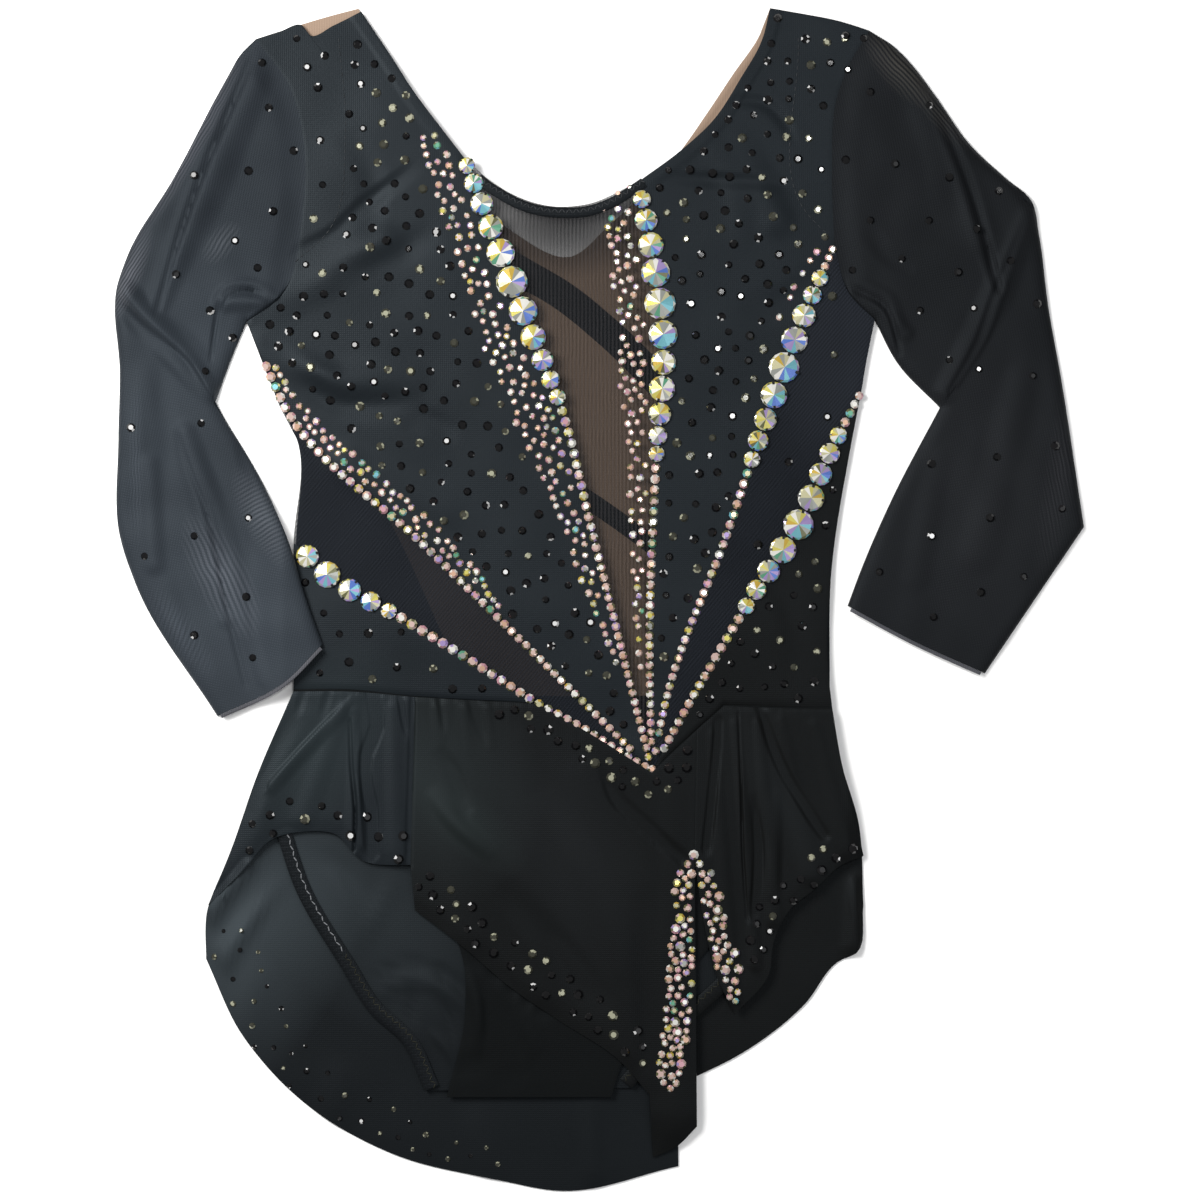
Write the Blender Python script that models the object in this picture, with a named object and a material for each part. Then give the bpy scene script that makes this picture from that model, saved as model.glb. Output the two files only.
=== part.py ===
"""Child's competition leotard, laid flat and face up on a table.

Sizes are in millimetres until an object is made: X to the right of the photograph,
Y towards the neck, Z up from the table. Six rays run from the point of the V at the
waist out to the side seams and the neck, lettered a to f from the left waist round to
the right side. The front panels lie between the rays.

The layers from the table up: back skirt, back brief, leg bindings and front brief,
front skirt. Above the waist: back bodice, back bands, front panels, large crystals.
"""

import math

import bmesh
import bpy
import numpy as np

MM = 0.001

# Driving dimensions
WALL = 1.2
SEAM_GAP = 0.3
LAYER = WALL + SEAM_GAP
SLEEVE_WALL = 1.0
SLEEVE_SIDE_WALL = 1.3
SLEEVE_HEIGHT = 2.8
DOME_RISE = 3.0
DOME_HALF_WIDTH = 125.0
DOME_CENTRE_X = -16.0
BAND_WALL = 1.0
BINDING_WIDTH = 6.5
NECK_BINDING_WIDTH = 3.3
STONE_SIDES = 10
STONE_GIRDLE = 1.3
STONE_CONE = 0.16
STONE_STRIP_WIDTH = 2.6
STONE_STRIP_HEIGHT = 1.0
STONE_SINK = 0.2
TIP_START = 0.6

# Steps of the armhole seam, up from the armpit, that a sleeve's inner edge follows
UNDERARM_STEPS_LEFT = 2
UNDERARM_STEPS_RIGHT = 2

# Middle of the outline, which becomes the origin
CENTRE_X = -0.26
CENTRE_Y = -0.25

# The point of the V, where every ray begins
V_POINT = (23, -76)
WAIST_LEFT_JOIN = (-28, -46)
WAIST_RIGHT_JOIN = (55, -47)

# Each seam: steps along it, and the points that its curve passes through, from the V
# outwards, from the waist up, or from the armpit up
SEAMS = {
    "ray_a_inner": (3, [V_POINT, (11, -69), (-8, -57), WAIST_LEFT_JOIN]),
    "ray_a_outer": (7, [WAIST_LEFT_JOIN, (-53, -30), (-87, -9), (-120, 10), (-136, 25)]),
    "ray_b": (10, [V_POINT, (3, -56), (-77, 23), (-139, 84), (-149, 105)]),
    "ray_c": (12, [V_POINT, (14, -40), (-4, 32), (-17, 84), (-30, 117), (-45, 156), (-60.5, 196)]),
    "ray_d": (12, [V_POINT, (22, -18), (25, 64), (28, 116), (25, 142), (17, 185)]),
    "ray_e": (12, [V_POINT, (30, -42), (56, 28), (78, 93), (91, 127), (104, 157)]),
    "ray_f": (10, [V_POINT, (46, -35), (68, 2), (89, 35), (102, 65), (116, 92)]),
    "v_right": (4, [V_POINT, WAIST_RIGHT_JOIN]),
    "waist_left": (7, [WAIST_LEFT_JOIN, (-82, -43), (-112, -40), (-136, -40)]),
    "waist_right": (6, [WAIST_RIGHT_JOIN, (89, -48), (103, -48)]),
    "neck_left": (9, [(-60.5, 196), (-70.5, 209), (-81.8, 224), (-93.3, 241.8), (-106, 260.8)]),
    "neck_right": (7, [(17, 185), (35.6, 198.7), (50.7, 212.9), (62.2, 230.7), (72, 248.4), (75.5, 262.3)]),
    "armhole_left": (10, [(-157, 123), (-142, 134), (-132, 171), (-131, 198), (-138, 228), (-153, 248.5)]),
    "armhole_right_lower": (3, [(122, 124), (111, 135), (104, 157)]),
    "armhole_right_upper": (7, [(104, 157), (103, 190), (105, 222), (110, 236), (119.6, 252.4)]),
    "side_left_armpit": (1, [(-149, 105), (-157, 123)]),
    "side_right_armpit": (2, [(116, 92), (118, 104), (122, 124)]),
    "skirt_left_pleat": (8, [(-82, -43.5), (-84, -118)]),
    "skirt_right_pleat": (5, [(43, -58), (42, -116)]),
}

# Top edges of the front: at the left it dips, and the nude back shows past it
SHOULDER_LEFT_FRONT = [
    (-153, 248.5), (-142, 252), (-132.5, 254.8), (-128.7, 250.2), (-118, 254.8), (-106, 260.8)
]
SHOULDER_RIGHT = [(75.5, 262.3), (89, 260), (106.7, 256.4), (119.6, 252.4)]

# Soft folds of each layer: where a crest starts and ends, its width at both ends, and
# how far it rises at both ends
FOLD_COLUMNS = ("x0", "y0", "x1", "y1", "width0", "width1", "rise0", "rise1")
BODICE_FOLDS = [
    (-150, 112, -118, 96, 22, 26, 1.6, 2.2),
    (-118, 96, -84, 98, 26, 22, 2.2, 0.6),
    (-140, 132, -96, 158, 22, 26, 0.6, 1.8),
    (-112, 60, -70, 40, 26, 26, 1.4, 0.6),
    (62, 200, 78, 168, 24, 22, 0.6, 1.6),
]
SKIRT_FRONT_FOLDS = [
    (-130, -52, -164, -122, 14, 22, 1.0, 3.2),
    (-114, -48, -132, -98, 10, 16, 1.8, 2.4),
    (-109, -50, -109, -112, 7, 11, 2.0, 4.2),
    (-92, -48, -90, -118, 9, 14, 2.2, 4.4),
    (-72, -48, -70, -66, 8, 9, 2.8, 0.6),
    (-60, -48, -58, -68, 7, 8, 2.6, 0.6),
    (-50, -48, -48, -64, 6, 7, 2.2, 0.6),
    (-66, -70, -60, -148, 24, 30, 0.8, 3.2),
    (-34, -64, -28, -174, 22, 30, 0.8, 3.4),
    (-6, -78, 10, -130, 26, 30, 1.4, 2.4),
    (10, -130, 12, -200, 30, 22, 2.4, 2.6),
    (32, -80, 34, -236, 16, 18, 1.0, 3.6),
    (50, -60, 59, -176, 8, 12, 1.6, 4.2),
    (60, -55, 69, -162, 7, 9, 2.0, 4.0),
    (70, -55, 78, -142, 7, 12, 1.8, 3.8),
    (80, -54, 94, -122, 9, 16, 1.8, 3.6),
    (95, -56, 110, -112, 9, 12, 1.6, 3.2),
]
SKIRT_BACK_FOLDS = [
    (-156, -118, -172, -140, 9, 13, 1.0, 2.6),
    (-150, -136, -166, -160, 9, 14, 1.0, 2.6),
    (113, -126, 112, -156, 8, 10, 1.0, 2.6),
]
SLEEVE_LEFT_FOLDS = [
    (-211, 137, -193, 114, 14, 18, 3.2, 3.8),
    (-193, 114, -172, 90, 18, 14, 3.8, 3.0),
    (-148, 240, -172, 186, 16, 22, 1.6, 2.6),
    (-172, 186, -198, 128, 22, 14, 2.6, 1.4),
    (-167, 132, -150, 132, 12, 10, 2.4, 2.4),
    (-184, 74, -176, 44, 14, 20, 2.2, 3.0),
    (-176, 44, -166, -8, 20, 14, 3.0, 1.6),
    (-200, 60, -198, 16, 12, 14, 1.2, 2.2),
]
SLEEVE_RIGHT_FOLDS = [
    (191, 172, 177, 137, 12, 18, 2.8, 4.0),
    (177, 137, 153, 92, 18, 14, 4.0, 3.2),
    (150, 218, 170, 160, 18, 22, 1.6, 2.8),
    (120, 134, 136, 118, 12, 10, 2.2, 2.8),
    (186, 96, 168, 20, 20, 24, 2.0, 2.6),
    (150, 62, 140, 10, 16, 18, 1.4, 2.2),
]

# Large stones of each ray: the seam, the distance of the first stone from the seam's
# outer end, the gap between two stones, and the diameters inwards
STONE_ROWS = {
    "crystals_ray_a": ("ray_a_outer", 8.6, 1.1, (10.2, 11.8, 10.2, 8.9, 7.1)),
    "crystals_ray_c": ("ray_c", 4.2, 0.35, (7.4, 8.7, 10.2, 11.1, 12.7, 14.1, 12.9, 11.4, 9.8, 8.4, 7.4)),
    "crystals_ray_d": ("ray_d", 8.0, 0.35, (8.0, 10.2, 11.4, 12.9, 14.0, 12.9, 11.1, 11.6, 10.2, 8.4, 7.1)),
    "crystals_ray_e": ("ray_e", 16.0, 0.35, (7.5, 8.4, 10.5, 11.9, 13.6, 11.9, 10.2, 9.2, 7.5)),
    "crystals_ray_f": ("ray_f", 22.0, 0.35, (7.8, 9.2, 10.2, 11.9, 13.6, 11.9, 10.2, 8.9, 7.5)),
}

# Colour, roughness and metallic value of each cloth and of the stones
LYCRA = ("lycra", (0.012, 0.014, 0.017), 0.55, 0.0)
MESH = ("stretch_mesh", (0.022, 0.026, 0.031), 0.70, 0.0)
NUDE = ("nude_mesh", (0.60, 0.42, 0.28), 0.70, 0.0)
ELASTIC = ("elastic", (0.010, 0.010, 0.011), 0.45, 0.0)
CRYSTAL = ("crystal", (0.75, 0.72, 0.60), 0.08, 0.6)


# Curves and patches in the plane of the table

def sampled(points, steps):
    """Points at equal steps along a smooth curve through the given points."""
    given = np.array(points, float)
    chord = np.linalg.norm(np.diff(given, axis=0), axis=1)
    slope = np.diff(given, axis=0) / chord[:, None]
    tangent = np.vstack([slope[:1], slope[-1:]])
    if len(given) > 2:
        before, after = chord[:-1, None], chord[1:, None]
        inner = (slope[1:] * before + slope[:-1] * after) / (before + after)
        tangent = np.vstack([slope[:1], inner, slope[-1:]])
    dense = []
    for i, length in enumerate(chord):
        for t in np.linspace(0, 1, 24, endpoint=False):
            start_part = (1 + 2 * t) * (1 - t) ** 2 * given[i]
            end_part = t * t * (3 - 2 * t) * given[i + 1]
            bend = t * (1 - t) ** 2 * tangent[i] - t * t * (1 - t) * tangent[i + 1]
            dense.append(start_part + end_part + bend * length)
    dense = np.vstack([dense, given[-1:]])
    along = np.concatenate([[0], np.cumsum(np.linalg.norm(np.diff(dense, axis=0), axis=1))])
    wanted = np.linspace(0, along[-1], steps + 1)
    return np.column_stack([np.interp(wanted, along, dense[:, k]) for k in (0, 1)])


def seam(name):
    steps, points = SEAMS[name]
    return sampled(points, steps)


def chain(*parts):
    """Edges joined end to end, each starting where the one before it ends."""
    return np.vstack([parts[0]] + [part[1:] for part in parts[1:]])


def from_tip(edge):
    """An edge whose first point is moved along it, so that a wedge ends blunt."""
    moved = edge.copy()
    moved[0] = edge[0] + TIP_START * (edge[1] - edge[0])
    return moved


def beside(edge, distance):
    """An edge's points moved sideways: to the left of its direction when positive."""
    direction = np.gradient(edge, axis=0)
    direction /= np.linalg.norm(direction, axis=1)[:, None]
    return edge + distance * np.column_stack([-direction[:, 1], direction[:, 0]])


def patch(left, right, start, end):
    """Grid of points that fills four edges: a row for each step of left and right."""
    rows, columns = len(left), len(start)
    v = np.linspace(0, 1, rows)[:, None, None]
    u = np.linspace(0, 1, columns)[None, :, None]
    across = (1 - u) * left[:, None] + u * right[:, None]
    along = (1 - v) * start[None] + v * end[None]
    first = (1 - u) * start[0] + u * start[-1]
    last = (1 - u) * end[0] + u * end[-1]
    return across + along - ((1 - v) * first + v * last)


def inset(grid, distance):
    """The grid with its border moved inwards, for the gap at the seams."""
    moved = grid.copy()
    area = np.cross(grid[1, 0] - grid[0, 0], grid[0, 1] - grid[0, 0])
    side = -1.0 if area > 0 else 1.0
    columns, rows = grid.shape[1] - 1, grid.shape[0] - 1
    border = [(0, j) for j in range(columns)] + [(i, columns) for i in range(rows)]
    border += [(rows, j) for j in range(columns, 0, -1)] + [(i, 0) for i in range(rows, 0, -1)]
    for k, (i, j) in enumerate(border):
        here = grid[i, j]
        inward = np.zeros(2)
        for other, sign in ((border[k - 1], -1.0), (border[(k + 1) % len(border)], 1.0)):
            step = sign * (grid[other] - here)
            length = np.linalg.norm(step)
            inward += np.array([-step[1], step[0]]) / length * side
        inward /= np.linalg.norm(inward)
        moved[i, j] = here + distance * inward
    return moved


# Heights above the table

def eased(low, high, value):
    """0 at low, 1 at high, with a soft start and end."""
    t = min(1.0, max(0.0, (value - low) / (high - low)))
    return t * t * (3 - 2 * t)


def fold_height(folds, x, y):
    """The highest crest of the folds at a point."""
    highest = 0.0
    for row in folds:
        fold = dict(zip(FOLD_COLUMNS, row))
        dx, dy = fold["x1"] - fold["x0"], fold["y1"] - fold["y0"]
        t = ((x - fold["x0"]) * dx + (y - fold["y0"]) * dy) / (dx * dx + dy * dy)
        t = min(1.0, max(0.0, t))
        away = math.hypot(x - fold["x0"] - t * dx, y - fold["y0"] - t * dy)
        half_width = 0.5 * (fold["width0"] + t * (fold["width1"] - fold["width0"]))
        rise = fold["rise0"] + t * (fold["rise1"] - fold["rise0"])
        if away < half_width:
            highest = max(highest, rise * 0.5 * (1 + math.cos(math.pi * away / half_width)))
    return highest


def back_skirt_under(x, y):
    return fold_height(SKIRT_BACK_FOLDS, x, y)


def back_brief_under(x, y):
    return LAYER


def front_brief_under(x, y):
    return 2 * LAYER


def front_skirt_under(x, y):
    """On the front brief where there is one, and down on the back skirt beside it."""
    on_brief = eased(-164, -148, x) * eased(121, 109, x) * eased(-250, -226, y)
    lifted = 1.3 * fold_height(SKIRT_BACK_FOLDS, x, y)
    return LAYER + 2 * LAYER * on_brief + lifted + fold_height(SKIRT_FRONT_FOLDS, x, y)


def bodice_under(x, y):
    """On the back at the sides, a low dome between them, and up on the brief at the waist."""
    across = max(0.0, 1 - ((x - DOME_CENTRE_X) / DOME_HALF_WIDTH) ** 2)
    along = eased(-60, 0, y) * eased(262, 215, y)
    waist = LAYER * eased(20, -32, y)
    return LAYER + waist + DOME_RISE * across * along + fold_height(BODICE_FOLDS, x, y)


def on_bodice(x, y):
    return bodice_under(x, y) + LAYER


def flat_on_table(x, y):
    return 0.0


def on_back_bodice(x, y):
    return LAYER


def left_cuff_lift(x, y):
    """The inner corner of the left cuff lies on the side of the bodice."""
    return 5.0 * eased(-156, -139, x) * eased(60, 30, y)


# Solids

def shade(obj, finish):
    name, colour, roughness, metallic = finish
    material = bpy.data.materials.new(f"{obj.name}_{name}")
    material.use_nodes = True
    shader = material.node_tree.nodes["Principled BSDF"]
    shader.inputs["Base Color"].default_value = (*colour, 1.0)
    shader.inputs["Roughness"].default_value = roughness
    shader.inputs["Metallic"].default_value = metallic
    obj.data.materials.append(material)


def make_object(name, points, faces, finish):
    """One object from points in millimetres, its faces turned outwards."""
    mesh = bpy.data.meshes.new(name)
    placed = [((x - CENTRE_X) * MM, (y - CENTRE_Y) * MM, z * MM) for x, y, z in points]
    mesh.from_pydata(placed, [], faces)
    body = bmesh.new()
    body.from_mesh(mesh)
    bmesh.ops.recalc_face_normals(body, faces=body.faces)
    body.to_mesh(mesh)
    body.free()
    obj = bpy.data.objects.new(name, mesh)
    bpy.context.scene.collection.objects.link(obj)
    shade(obj, finish)
    return obj


def loop_faces(first, second):
    """Quads between two closed loops of point numbers."""
    count = len(first)
    return [(first[k], first[(k + 1) % count], second[(k + 1) % count], second[k]) for k in range(count)]


def cloth(name, grid, under, finish, wall=WALL):
    """A wall of even thickness over a grid: its underside lies at the height under(x, y)."""
    grid = inset(grid, SEAM_GAP / 2)
    rows, columns = grid.shape[:2]
    plan = grid.reshape(-1, 2)
    low = [(x, y, under(x, y)) for x, y in plan]
    points = low + [(x, y, z + wall) for x, y, z in low]
    size = rows * columns
    faces = []
    for i in range(rows - 1):
        for j in range(columns - 1):
            corner = i * columns + j
            cell = (corner, corner + 1, corner + columns + 1, corner + columns)
            faces.append(cell)
            faces.append(tuple(size + k for k in reversed(cell)))
    rim = [j for j in range(columns - 1)]
    rim += [i * columns + columns - 1 for i in range(rows - 1)]
    rim += [(rows - 1) * columns + j for j in range(columns - 1, 0, -1)]
    rim += [i * columns for i in range(rows - 1, 0, -1)]
    faces += loop_faces(rim, [size + k for k in rim])
    return make_object(name, points, faces, finish)


def strip(name, centre_line, width, under, finish, wall):
    """A band of even width along a line."""
    left, right = beside(centre_line, width / 2), beside(centre_line, -width / 2)
    start, end = np.linspace(left[0], right[0], 3), np.linspace(left[-1], right[-1], 3)
    return cloth(name, patch(left, right, start, end), under, finish, wall)


def sleeve(name, outer, inner, armhole, cuff, folds, lift):
    """A flattened tube, open at the armhole and at the cuff."""
    grid = inset(patch(outer, inner, armhole, cuff), SEAM_GAP / 2)
    rows, columns = grid.shape[:2]
    points, faces, loops = [], [], []
    for line in grid:
        narrow = line.copy()
        for edge, towards in ((0, 1), (-1, -2)):
            step = line[towards] - line[edge]
            narrow[edge] = line[edge] + SLEEVE_SIDE_WALL * step / np.linalg.norm(step)
        for plan, wall in ((line, 0.0), (narrow, SLEEVE_WALL)):
            raised = [lift(x, y) for x, y in plan]
            height = SLEEVE_HEIGHT - wall
            top = [(x, y, up + height + fold_height(folds, x, y)) for (x, y), up in zip(plan, raised)]
            bottom = [(x, y, up + wall) for (x, y), up in zip(plan, raised)]
            loops.append(list(range(len(points), len(points) + 2 * columns)))
            points += top + bottom[::-1]
    outside, inside = loops[0::2], loops[1::2]
    for ring in (outside, inside):
        for first, second in zip(ring[:-1], ring[1:]):
            faces += loop_faces(first, second)
    faces += loop_faces(outside[0], inside[0]) + loop_faces(outside[-1], inside[-1])
    return make_object(name, points, faces, MESH)


def stone_points(centre, radius, first):
    """Points and faces of one round stone: a short girdle under a low cone."""
    points, faces = [], []
    for height in (0.0, STONE_GIRDLE):
        for k in range(STONE_SIDES):
            angle = 2 * math.pi * k / STONE_SIDES
            x, y = centre[0] + radius * math.cos(angle), centre[1] + radius * math.sin(angle)
            points.append((x, y, on_bodice(x, y) + STONE_SINK + height))
    tip = STONE_SINK + STONE_GIRDLE + 2 * radius * STONE_CONE
    points.append((centre[0], centre[1], on_bodice(*centre) + tip))
    base = [first + k for k in range(STONE_SIDES)]
    girdle = [first + STONE_SIDES + k for k in range(STONE_SIDES)]
    faces = [tuple(reversed(base))] + loop_faces(base, girdle)
    faces += [(girdle[k], girdle[(k + 1) % STONE_SIDES], first + 2 * STONE_SIDES) for k in range(STONE_SIDES)]
    return points, faces


def stone_row(name, seam_name, first_at, gap, diameters):
    """Stones along a ray, just apart, fused into the narrow strip that they are set on."""
    line = sampled(SEAMS[seam_name][1][::-1], 200)
    along = np.concatenate([[0], np.cumsum(np.linalg.norm(np.diff(line, axis=0), axis=1))])
    places = [first_at]
    for before, after in zip(diameters[:-1], diameters[1:]):
        places.append(places[-1] + (before + after) / 2 + gap)
    centres = [tuple(np.interp(at, along, line[:, k]) for k in (0, 1)) for at in places]
    points, faces = [], []
    for centre, diameter in zip(centres, diameters):
        stone, sides = stone_points(centre, diameter / 2, len(points))
        points += stone
        faces += sides
    stones = make_object(f"{name}_stones", points, faces, CRYSTAL)
    stones.hide_render = True
    stones.display_type = "WIRE"
    backing = strip(name, np.array(centres), STONE_STRIP_WIDTH, on_bodice, CRYSTAL, STONE_STRIP_HEIGHT)
    union = backing.modifiers.new("stones", "BOOLEAN")
    union.operation = "UNION"
    union.object = stones
    return backing


# The garment's pieces

def straight(first, last, steps):
    return np.linspace(first, last, steps + 1)


def front_panels():
    ray_a = chain(seam("ray_a_inner"), seam("ray_a_outer"))
    rays = {letter: from_tip(seam(f"ray_{letter}")) for letter in "bcdef"}
    rays["a"] = from_tip(ray_a)
    panels = {
        "side_left": (
            from_tip(seam("ray_a_outer")),
            from_tip(seam("waist_left")),
            [(-136, 25), (-135, -10), (-136, -40)],
            4,
            LYCRA,
        ),
        "mesh_left": (
            rays["b"],
            rays["a"],
            [(-149, 105), (-142, 85), (-135, 72), (-136, 25)],
            6,
            MESH,
        ),
        "chest_left": (
            chain(rays["b"], seam("side_left_armpit"), seam("armhole_left")),
            chain(rays["c"], seam("neck_left")),
            SHOULDER_LEFT_FRONT,
            8,
            LYCRA,
        ),
        "mesh_centre": (
            rays["c"],
            rays["d"],
            [(-60.5, 196), (-48, 185), (-40, 180), (-20, 174), (-6, 175), (17, 185)],
            7,
            MESH,
        ),
        "chest_right": (
            chain(rays["d"], seam("neck_right")),
            chain(rays["e"], seam("armhole_right_upper")),
            SHOULDER_RIGHT,
            6,
            LYCRA,
        ),
        "mesh_right": (
            rays["e"],
            chain(rays["f"], seam("side_right_armpit")),
            SEAMS["armhole_right_lower"][1][::-1],
            3,
            MESH,
        ),
        "side_right": (
            rays["f"],
            from_tip(chain(seam("v_right"), seam("waist_right"))),
            [(116, 92), (111, 66), (103, 15), (101, -30), (103, -48)],
            5,
            LYCRA,
        ),
    }
    for name, (left, right, outer_edge, columns, finish) in panels.items():
        end = sampled(outer_edge, columns)
        start = straight(left[0], right[0], columns)
        cloth(name, patch(left, right, start, end), bodice_under, finish)


def back_panels():
    """The nude middle of the back with its neck scoop, between two black sides."""
    side_left = sampled([(-135, -40.5), (-135, 25), (-135, 72), (-142, 86), (-157, 123)], 8)
    side_right = sampled([(102, -40.5), (103, 15), (111, 66), (118, 104), (122, 124)], 8)
    inset_left = sampled([(-58, -40.5), (-70, -16), (-93, 34), (-125, 88), (-157, 123)], 8)
    inset_right = sampled([(30, -40.5), (46, 22), (82, 84), (122, 124)], 8)
    armhole_right = chain(seam("armhole_right_lower"), seam("armhole_right_upper"))
    shoulder_left = sampled([(-153, 248.5), (-142, 252.3), (-131.6, 255.6), (-119, 259.3), (-107.3, 262.3)], 4)
    neckline = sampled(
        [
            (-107.3, 262.3), (-97, 236), (-68, 194), (-40, 164), (-13, 152), (4, 166), (35, 198),
            (47, 215), (59, 233), (71, 250.7), (75.5, 262.3),
        ],
        18,
    )
    shoulder_right = sampled(SHOULDER_RIGHT, 3)
    top = chain(shoulder_left, neckline, shoulder_right)
    waist = straight(inset_left[0], inset_right[0], len(top) - 1)
    grid = patch(chain(inset_left, seam("armhole_left")), chain(inset_right, armhole_right), waist, top)
    cloth("back_bodice", grid, flat_on_table, NUDE)
    for name, left, right in (
        ("back_side_left", side_left, inset_left),
        ("back_side_right", inset_right, side_right),
    ):
        left, right = from_tip(left[::-1]), from_tip(right[::-1])
        tip, waist = straight(left[0], right[0], 4), straight(left[-1], right[-1], 4)
        cloth(name, patch(left, right, tip, waist), flat_on_table, LYCRA)


def back_bands():
    bands = {
        "back_band_1": [(-62, 161), (-34, 145), (-17, 135), (4, 118), (36, 86)],
        "back_band_2": [(-34, 62), (-5, 44), (8, 35), (34, 16)],
    }
    widths = {"back_band_1": 13.0, "back_band_2": 8.0}
    for name, points in bands.items():
        strip(name, sampled(points, 8), widths[name], on_back_bodice, LYCRA, BAND_WALL)


def neck_binding():
    line = sampled([(-42.5, 179.3), (-32, 174.6), (-17, 172.2), (-4, 173.6), (10.5, 179.2)], 10)
    strip("neck_binding", line, NECK_BINDING_WIDTH, on_bodice, ELASTIC, BAND_WALL)


def sleeves():
    left_outer = sampled(
        [
            (-153, 248.5), (-159.5, 242), (-166, 231), (-190, 186), (-209.5, 153.5), (-214.5, 139),
            (-213.3, 100), (-214, 70), (-213.3, 28), (-206, 6), (-170, -52),
        ],
        22,
    )
    armhole = seam("armhole_left")[::-1]
    left_inner = chain(
        armhole[-1 - UNDERARM_STEPS_LEFT:],
        sampled([(-157, 123), (-164, 106), (-171, 87)], 7),
        sampled([(-171, 87), (-148, 48), (-137.5, 24), (-131, 2), (-123, -20)], 13),
    )
    left_cuff = sampled([(-170, -52), (-140, -37), (-123, -20)], len(armhole) - 1 - UNDERARM_STEPS_LEFT)
    armhole = armhole[:-UNDERARM_STEPS_LEFT]
    sleeve("sleeve_left", left_outer, left_inner, armhole, left_cuff, SLEEVE_LEFT_FOLDS, left_cuff_lift)
    right_outer = chain(
        sampled(
            [
                (119.6, 252.4), (131, 245), (140, 235.5), (149, 223.5), (165.5, 200.5), (179, 188), (192, 176),
                (195, 162), (199, 131), (205, 97), (215, 32),
            ],
            16,
        ),
        sampled([(215, 32), (196, 4), (171, -33)], 6),
    )
    armhole = chain(seam("armhole_right_lower"), seam("armhole_right_upper"))[::-1]
    right_inner = chain(
        armhole[-1 - UNDERARM_STEPS_RIGHT:],
        sampled([(122, 124), (132, 105), (151, 85)], 7),
        sampled([(151, 85), (130, 45), (116, 13), (110, -3)], 13),
    )
    right_cuff = sampled([(171, -33), (140, -19), (110, -3)], len(armhole) - 1 - UNDERARM_STEPS_RIGHT)
    armhole = armhole[:-UNDERARM_STEPS_RIGHT]
    sleeve("sleeve_right", right_outer, right_inner, armhole, right_cuff, SLEEVE_RIGHT_FOLDS, flat_on_table)


def back_skirt():
    pieces = {
        "skirt_back_left": (
            sampled([(-136, -43), (-152, -78), (-164, -112), (-175, -142), (-175, -160)], 12),
            straight((34.2, -43), (34.5, -252), 12),
            straight((-136, -43), (34.2, -43), 18),
            sampled(
                [(-175, -160), (-160, -192), (-130, -225), (-91, -247), (-46, -258), (-18, -263), (34.5, -252)], 18
            ),
        ),
        "skirt_back_right": (
            sampled([(34.8, -43), (37, -125), (43, -212)], 9),
            sampled([(102.5, -48), (107, -72), (115, -100), (117, -136)], 9),
            straight((34.8, -43), (102.5, -48), 9),
            sampled([(43, -212), (61, -203), (91, -180), (106, -161), (114, -157), (117, -136)], 9),
        ),
    }
    for name, edges in pieces.items():
        cloth(name, patch(*edges), back_skirt_under, LYCRA)


LEG_LEFT = [(-142, -98), (-132, -128), (-112, -162), (-100, -181), (-85, -195), (-74.5, -217)]
LEG_RIGHT = [(104, -99), (92, -122), (74, -146), (54, -171), (41, -183), (26, -198), (11.5, -215)]


def briefs():
    """The back brief to the outer edges of the leg bindings, and the higher cut front brief."""
    outer_left = beside(sampled(LEG_LEFT, 8), -BINDING_WIDTH / 2)
    outer_right = beside(sampled(LEG_RIGHT, 8), BINDING_WIDTH / 2)
    left = chain(sampled([(-134, -44), tuple(outer_left[0])], 3), outer_left)
    right = chain(sampled([(101, -49), tuple(outer_right[0])], 3), outer_right)
    grid = patch(left, right, straight(left[0], right[0], 10), straight(left[-1], right[-1], 10))
    cloth("back_brief", grid, back_brief_under, LYCRA)

    waist = chain(
        seam("waist_left")[::-1], seam("ray_a_inner")[::-1], seam("v_right"), seam("waist_right")
    )
    left = chain(
        sampled([(-136, -40), (-141, -94)], 3),
        sampled([(-141, -94), (-118, -99), (-92, -110), (-70, -138), (-61, -159), (-60, -186), (-68, -221)], 9),
    )
    right = chain(
        sampled([(103, -48), (104, -92)], 3),
        sampled([(104, -92), (88, -106), (62, -138), (44, -160), (30, -178), (9, -208), (5, -221)], 9),
    )
    crotch = straight((-68, -221), (5, -221), len(waist) - 1)
    cloth("front_brief", patch(left, right, waist, crotch), front_brief_under, LYCRA)


def leg_bindings():
    for name, points in {"leg_binding_left": LEG_LEFT, "leg_binding_right": LEG_RIGHT}.items():
        strip(name, sampled(points, 16), BINDING_WIDTH, front_brief_under, ELASTIC, BAND_WALL)


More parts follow.
